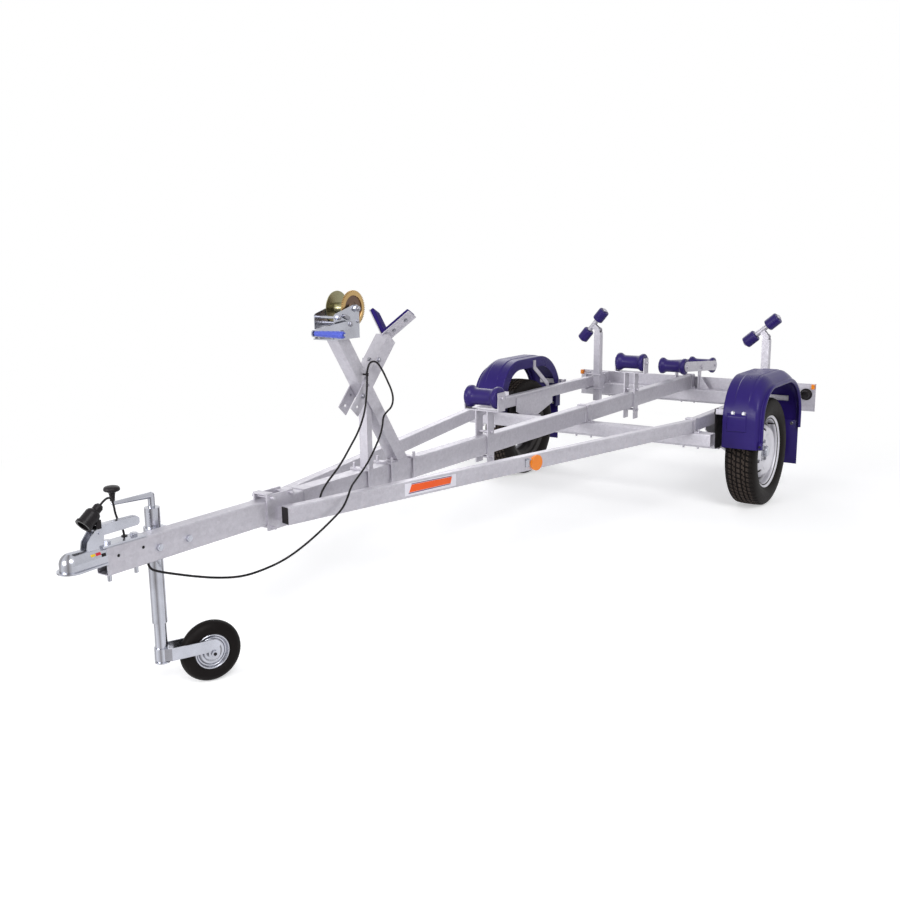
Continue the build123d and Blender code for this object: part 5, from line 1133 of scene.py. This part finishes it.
# %% Leaves on flat faces
LABEL = {
    name: moulded("label_" + name, light, dark, roughness, 600.0, 0.00003, 0.4)
    for name, light, dark, roughness in (
        ("white", (0.80, 0.78, 0.84), (0.70, 0.69, 0.76), 0.35),
        ("orange", (0.90, 0.13, 0.010), (0.80, 0.07, 0.008), 0.35),
        ("dark", (0.10, 0.06, 0.13), (0.16, 0.11, 0.20), 0.40),
        ("yellow", (0.85, 0.62, 0.03), (0.75, 0.50, 0.02), 0.35),
        ("red", (0.62, 0.025, 0.04), (0.50, 0.02, 0.03), 0.35),
    )
}
RAIL_SLOPE = 0.2269
rail_step = np.array([-1.0, RAIL_SLOPE, 0.0]) / math.hypot(1, RAIL_SLOPE)
rail_out = np.array([RAIL_SLOPE, 1.0, 0.0]) / math.hypot(1, RAIL_SLOPE)
rail_start = np.array([2752.0, 67.5, 0.0]) + rail_out * 20
rail_axes = np.stack([rail_step, rail_out, (0, 0, 1)])


def on_rail(form, along=0.0, outwards=0.0, height=0.0):
    """A form in millimetres whose x, y and z run back along the rail, out of it and up."""
    shift = rail_start + rail_step * along + rail_out * outwards + (0, 0, height)
    return in_frame(moved(form, shift, rail_axes))


def leaf(corners, lift=0.25, thickness=0.25):
    """A flat leaf on the rail: corners are (distance back along the rail, height)."""
    flat = np.asarray(corners, float)
    middle = flat.mean(0)
    inner = middle + (flat - middle) * 0.995
    rings = [(flat, lift - 0.4), (flat, lift + thickness * 0.6), (inner, lift + thickness)]
    points = np.stack([np.insert(ring, 1, y, 1) for ring, y in rings])
    return on_rail(skin(points, wrap_columns=True, cap=True))


label = leaf([(484, 452), (728, 450), (728, 494), (484, 497)], 0.0)
band = leaf([(503, 463), (701, 464), (708, 487), (515, 490)])
lower_line = leaf([(500, 458.5), (700, 460), (701, 463), (501, 462)])
upper_line = leaf([(514, 491), (707, 488), (708, 491), (515, 494)])
build("rail_label", label, "trailer", LABEL["white"], "plate_white")
build("rail_label_band", band, "trailer", LABEL["orange"], "amber")
build("rail_label_lines", joined([lower_line, upper_line]), "trailer", LABEL["dark"], "black_plastic")

# %% [markdown]
# The coupler's side is a slightly hollow pressing, so a leaf is laid on it by
# asking the solid itself: a ray is cast sideways at the middle of each field,
# and the leaf takes the place and the slope of the face that it meets.

# %% Wear fields on the coupler
def laid_on(solid, place, direction, size, thickness=0.6):
    """A small rounded leaf (size in mm) on the face that a ray from outside meets."""
    into = solid.matrix_world.inverted()
    start = into @ Matrix.Translation(at(*place)).to_translation()
    heading = into.to_3x3() @ -Matrix.Translation(direction).to_translation()
    met, spot, normal, _ = solid.ray_cast(start, heading)
    if not met:
        return None
    spot, normal = np.array(solid.matrix_world @ spot), np.array(solid.matrix_world.to_3x3() @ normal)
    half = np.array(size) / 2
    points, faces = box((*-half, -0.4), (*half, thickness), 0.25)
    level = np.cross((0, 0, 1), normal)
    level /= np.linalg.norm(level)
    return spot + points @ np.stack([level, np.cross(normal, level), normal]) / 1000, faces


FIELDS = (
    (3441, 514, (14, 7), LABEL["yellow"], "amber"),
    (3424, 514, (16, 8), LABEL["red"], "red_lens"),
    (3408, 508, (14, 9), BLACK_PLASTIC, "black_plastic"),
)
for number, (x, z, size, finish, slot_name) in enumerate(FIELDS, 1):
    field = laid_on(frame["nodes"]["coupler"], (x, 90, z), (0, 1, 0), size)
    if field:
        build("wear_field_%d" % number, field, "trailer", finish, slot_name)

# %% [markdown]
# The last small parts are plugs in the beam's spare holes, a tie and a clip that
# hold the cable, caps in the ends of the mudguards' lips, black painted shade in
# the open front ends of the rails, the socket at the end of the tail board, and
# the bent bracket behind the marker.

# %% Caps, ties and the rear socket
plug_form = turned([(4.6, 0), (4.6, 0.5), (3.8, 0.9), (0.6, 1.0)], 16)
tie = turned([(4.2, 0), (5.2, 1), (5.2, 11), (4.2, 12)], 16)
socket_line = [(34, 0), (34, 3), (27, 5), (24, 9), (24, 34), (22, 38), (19, 38), (18, 22), (4, 20)]
lip_cap = turned([(6.5, 0), (6.5, 1.5), (5, 3), (0.6, 3.4)], 16)
# painted shade: a black block inside the open front end of each rail stands for its dark inside
rail_end_shade = on_rail(box((-1.2, -37.5, 445.2), (5.0, -2.5, 499.8), 1.0))
black = [
    placed(plug_form, (3360, 25.2, 493), (0, 1, 0)),
    placed(plug_form, (3276, 25.2, 495), (0, 1, 0)),
    placed(tie, (2288, 41.8, 866), (0, 0.06, 1)),
    in_frame(box((2284, 25.1, 869), (2292, 39, 875), 1.2)),
    placed(turned(socket_line, 28), (-870.2, 690, 448), (1, 0, 0)),
    rail_end_shade,
    mirrored(rail_end_shade),
]
black += [placed(lip_cap, (306, side * 806, 352), (1, 0, 0)) for side in (1, -1)]
build("caps_and_ties", joined(black), "trailer", BLACK_PLASTIC, "black_plastic", sharp=40.0)
bracket = joined([box((-26, -3, -14), (-3, -0.6, 20), 0.6), box((-29, -3, 14), (-3, 9, 17), 0.6)])
build("marker_bracket", on_rail(bracket, 1123, 3.2, 474.0), "trailer", BRIGHT_ZINC, "bright_zinc")

# %% [markdown]
# ## Winch drum and gear
# The drum, its far flange and the big gear are pressed and cut from sheet, then
# plated yellow. The gear is a ring of sixty teeth round a thinner web. Its edge
# is a wave with flat tops: the radius steps between root and tip as the angle
# passes through each tooth.

# %% Drum with its gear
DRUM, TEETH, GEAR_TURN = (2342, 0, 1104), 60, math.radians(-41.43)


def gear(teeth, root, tip, turn, inner, low, high):
    """A toothed ring: the outer radius is root + (tip - root) times a clipped triangle wave."""
    angle = full_turn(teeth * 12)
    wave = np.abs((((angle - turn) * teeth / (2 * math.pi)) % 1.0) - 0.5) * 2
    edge = root + (tip - root) * np.clip((wave - 0.42) / 0.26, 0, 1)
    rows = (
        (inner, low + 0.8), (inner + 0.8, low), (edge - 1.2, low), (edge, low + 0.7),
        (edge, high - 0.7), (edge - 1.2, high), (inner + 0.8, high), (inner, high - 0.8),
    )
    points = np.stack([spun(radius, place, angle) for radius, place in rows])
    return skin(points, wrap_rows=True, wrap_columns=True)


barrel_line = [
    (6.2, -40), (58.2, -40), (59, -39.4), (59, -38.1), (58.2, -37.5), (19.5, -37.5), (19, -36.5),
    (19, 25.2), (18.5, 25.5), (6.2, 25.5),
]
web_line = [
    (6.2, 25.5), (46.6, 25.5), (47.2, 26), (47.2, 28.2), (46.0, 30.2), (44.5, 31.4), (22, 31.4),
    (17, 35), (6.2, 35),
]
gear_form = gear(TEETH, 57.6, 61.6, GEAR_TURN, 44.0, 28.0, 35.0)
drum = in_frame(joined([turned(barrel_line, 72, closed=True), gear_form]), DRUM)
web = in_frame(turned(web_line, 72, closed=True), DRUM)
build("winch_drum_detail", drum, "winch_drum", YELLOW_ZINC, "yellow_zinc", ("winch_drum",), sharp=32.0)
build("winch_gear_web", web, "winch_drum", WEB_ZINC, "yellow_zinc")

# %% [markdown]
# ## Pawl and shafts
# A spring holds a pawl against the pinion, so the rope cannot run out by itself.
# The shafts end in nuts with washers, and the crank is held by a nut of its own.

# %% Small winch parts
def link(points, radius, low, high):
    """A plate round two (x, z) middles: a rounded strip between two half circles."""
    start, end = (np.asarray(point, float) for point in points)
    heading = math.atan2(end[1] - start[1], end[0] - start[0])
    turn = np.linspace(math.pi / 2, 3 * math.pi / 2, 12) + heading
    half = np.stack([np.cos(turn), np.sin(turn)], 1)
    outline = np.concatenate([start + half * radius, end - half * radius])
    rings = []
    for y, inset in ((low, 0.6), (low + 0.4, 0), (high - 0.4, 0), (high, 0.6)):
        ring = outline + (outline.mean(0) - outline) * inset / radius
        rings.append(np.insert(ring, 1, y, 1))
    return skin(np.array(rings), wrap_columns=True, cap=True)


winch_bits = [
    moved(bolt(9.5, 10), (2342, 52.6, 1104)),
    moved(bolt(6.5, 7), (2437, 52.6, 1079)),
    moved(bolt(6.0, 0), (2334, 44.8, 1061)),
    moved(turned([(7, 0), (7, 3.6), (5, 4.4)], 20), (2418, 44.9, 1030)),
    link([(2408, 1083), (2386, 1074)], 6, 47.0, 51.0),
    moved(turned([(5, 0), (5, 9), (4, 10)], 18), (2408, 44.9, 1083)),
]
build("winch_fasteners", in_frame(joined(winch_bits)), "trailer", BOLT_ZINC, "bright_zinc")
crank_nut = in_frame(moved(bolt(8.5, 9), (2392, 60.9, 1055)))
build("crank_nut", crank_nut, "winch_crank", BOLT_ZINC, "bright_zinc")

# %% [markdown]
# ## Handles
# The crank's grip is soft plastic with a collar at each end and shallow rings
# that stop the hand from slipping. The jack's knob is turned from one smooth
# line. Both keep the size of the solids that they replace.

# %% Grip and knob
grip_y = np.linspace(64.6, 183.4, 150)
grip_radius = np.interp(grip_y, [64, 76, 160, 178, 184], [9.0, 9.9, 12.4, 12.4, 9.4])
ring_dip = sum(np.exp(-(((grip_y - middle) / 1.5) ** 2)) for middle in (80, 102, 124, 146, 168))
grip_line = np.column_stack([grip_radius - 1.1 * ring_dip, grip_y])
grip_line = np.concatenate([[(4.6, 64.6)], [(8.3, 64.2)], grip_line, [(8.0, 184)], [(4.6, 184)]])
FLUTE = 0.35
grip_angle = full_turn(48)
fluted = (grip_line[:, 1:] > 84) & (grip_line[:, 1:] < 164) & (grip_line[:, :1] > 8.5)
flutes = FLUTE * np.cos(grip_angle * 8) * fluted
grip_points = spun(grip_line[:, :1] + flutes - FLUTE, grip_line[:, 1:], grip_angle)
grip_form = in_frame(skin(grip_points, wrap_rows=True, wrap_columns=True), (2572.13, 0, 1037.34))
build("winch_grip_ribbed", grip_form, "winch_crank", GRIP_BLUE, "grip_blue", ("winch_grip",))

knob_line = smooth_line(
    [
        (7.0, 619), (7.4, 628), (8.4, 636), (10.5, 643), (16.0, 645.8), (20.6, 647.4), (22.8, 650.5),
        (22.6, 655), (20.0, 659), (14.0, 661.4), (7.0, 662.3), (0.8, 662.5),
    ],
    5,
)
KNOB_ARM, KNOB_HEADING = 124, math.radians(-6)
knob_place = (3168 + KNOB_ARM * math.cos(KNOB_HEADING), -62 + KNOB_ARM * math.sin(KNOB_HEADING), 0)
UPRIGHT = np.array([[1, 0, 0], [0, 0, 1], [0, -1, 0]], float)
knob_form = in_frame(moved(turned(knob_line, 48), axes=UPRIGHT), knob_place)
build("jack_knob_turned", knob_form, "trailer", BLACK_PLASTIC, "black_plastic", ("jack_knob",))

# %% [markdown]
# ## Jockey wheel
# Its rim is two pressed dishes welded back to back. Each has a rolled edge, a
# raised ring, and a hub in the middle, all in one turned line. At the fork's
# ends a thin black disc is painted shade: it stands for the dark inside of the
# axle's bore.

# %% Jockey rim
half_rim = smooth_line(
    [
        (6.2, 27.8), (13.5, 28.0), (15.2, 26.5), (16.5, 16.0), (20.0, 13.2), (26.0, 12.8), (31.0, 15.0),
        (35.0, 15.4), (39.0, 14.0), (42.5, 10.5), (46.0, 10.5), (48.5, 13.5), (50.5, 17.5), (53.5, 18.6),
        (55.6, 17.6),
    ],
    4,
)
# painted shade: a thin black disc where the axle's bore shows its dark inside
bore_shade_line = np.array([(5.4, 41.2), (5.4, 41.5), (5.0, 41.7), (0.5, 41.7)])
jockey_rim = turned(symmetric(half_rim), 80, closed=True)
bore_shade_discs = joined([turned(bore_shade_line * (1, side), 20) for side in (1, -1)])


def on_jockey(form):
    """A form in millimetres on the jockey wheel's own axis."""
    return moved((form[0] / 1000, form[1]), JOCKEY, leaning(JOCKEY_AXIS))


rim, bore_shades = on_jockey(jockey_rim), on_jockey(bore_shade_discs)
build("jockey_rim_pressed", rim, "jockey_wheel", BRIGHT_ZINC, "bright_zinc", ("jockey_rim",), 40.0)
build("jockey_bore_ends", bore_shades, "jack_fork", BLACK_PLASTIC, "black_plastic")

# %% [markdown]
# ## Bow pads
# Two strips of rubber are bent into the V that stops the bow. Their section is a
# rounded rectangle. It is carried from one tip through the corner to the other,
# and shrinks a little at each tip so that the ends are round as well.

# %% Pads in the V
def rounded_section(low, high, radius, steps=6):
    """Points (a, b) round a rectangle with corners of a given radius."""
    low, high = np.array(low), np.array(high)
    corners = []
    for quarter_turn, (right, top) in enumerate(((1, 1), (0, 1), (0, 0), (1, 0))):
        turn = np.radians(90 * quarter_turn + np.linspace(0, 90, steps))
        middle = np.where((right, top), high - radius, low + radius)
        corners.append(middle + radius * np.column_stack([np.cos(turn), np.sin(turn)]))
    return np.concatenate(corners)


pad_section = rounded_section((0.4, -23.4), (13.3, 23.4), 3.2)
pad_middle = pad_section.mean(0)
pad_half = np.array([-1.0, -0.995, -0.98, -0.8, -0.5, -0.25, -0.12, -0.05])
pad_steps = np.concatenate([pad_half, [0.0], -pad_half[::-1]])
pad_shrink = np.interp(np.abs(pad_steps), [0, 0.975, 0.99, 1.0], [1.0, 1.0, 0.96, 0.80])[:, None, None]
pad_cut = pad_middle + (pad_section - pad_middle) * pad_shrink
inset, width_w = pad_cut[..., 0], pad_cut[..., 1]
reach = np.abs(pad_steps)[:, None]
corner_soft = 3.0 * np.exp(-((reach / 0.06) ** 2))
foot = inset / WING_COS + corner_soft
sideways = pad_steps[:, None] * (89 - inset * WING_SIN)
upwards = foot + reach * (95 + inset * WING_COS - foot)
pad_points = WING_FOOT + sideways[..., None] * (0, 1, 0)
pad_points = pad_points + upwards[..., None] * WING_UP + width_w[..., None] * WING_ACROSS
pad_form = in_frame(skin(pad_points, wrap_columns=True, cap=True))
build("bow_pads_moulded", pad_form, "trailer", PAD_BLUE, "indigo_rubber", ("bow_pads",), sharp=60.0)

# %% [markdown]
# ## Cables
# The lamps' cable and the plug's lead are lengths of round cable that hang
# freely. Each is one smooth spline: a few control points give its route, and the
# spline rounds every corner by itself. The order and the end rule are set after
# the points, because a new spline has too few points to take them.

# %% Cable splines
LAMP_CABLE, PLUG_CABLE = 0.007, 0.006
LAMP_ROUTE = (
    (2590, 22, 457), (2590, 46, 457), (2584, 62, 475), (2574, 65, 512), (2536, 61, 540),
    (2490, 59, 567), (2448, 57, 598), (2406, 55, 637), (2366, 52, 671), (2333, 48, 708),
    (2309, 45, 749), (2294, 42, 800), (2288, 41, 850), (2288, 42, 888), (2274, 45, 916),
    (2241, 48, 914), (2213, 50, 882), (2184, 50, 838), (2158, 48, 800), (2144, 44, 766),
    (2155, 43, 738), (2185, 45, 727), (2212, 48, 712), (2220, 51, 680), (2243, 56, 646),
    (2280, 62, 611), (2325, 72, 578), (2378, 86, 553), (2438, 104, 534), (2495, 128, 523),
    (2538, 151, 503), (2570, 154, 468), (2616, 144, 437), (2668, 132, 405), (2731, 119, 372),
    (2805, 108, 346), (2884, 98, 335), (2963, 86, 332), (3040, 70, 346), (3112, 50, 367),
    (3177, 30, 390), (3222, 17, 407), (3252, 8, 424), (3252, 8, 454),
)
PLUG_ROUTE = (
    (3387.8, 0, 637.2), (3369.5, -1.2, 651.6), (3346, -7, 649), (3334, -14, 625),
    (3327, -20, 599), (3318, -20, 572), (3306, -15, 545), (3306, -15, 515),
)


def cable(name, route, diameter):
    """One open NURBS spline of order 3 through its own control points, as thick as the cable."""
    line = bpy.data.curves.new(name, "CURVE")
    line.dimensions = "3D"
    line.bevel_depth = diameter / 2
    line.bevel_resolution = 4
    line.resolution_u = 10
    line.use_fill_caps = True
    spline = line.splines.new("NURBS")
    spline.points.add(len(route) - 1)
    controls = np.array([(*at(*point), 1.0) for point in route], np.float32)
    spline.points.foreach_set("co", controls.ravel())
    spline.order_u = 3
    spline.use_endpoint_u = True
    line.materials.append(CABLE_BLACK)
    piece = added(name, line)
    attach(piece, "trailer")
    print(name, len(route), "control points")
    return piece


lamp_lead = cable("lamp_lead", LAMP_ROUTE, LAMP_CABLE)
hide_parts("lamp_cable")
tuple(at(2590, 25, 457))
plug_lead = cable("plug_lead", PLUG_ROUTE, PLUG_CABLE)
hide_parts("plug_cable")
tuple(at(3306, -15, 528))
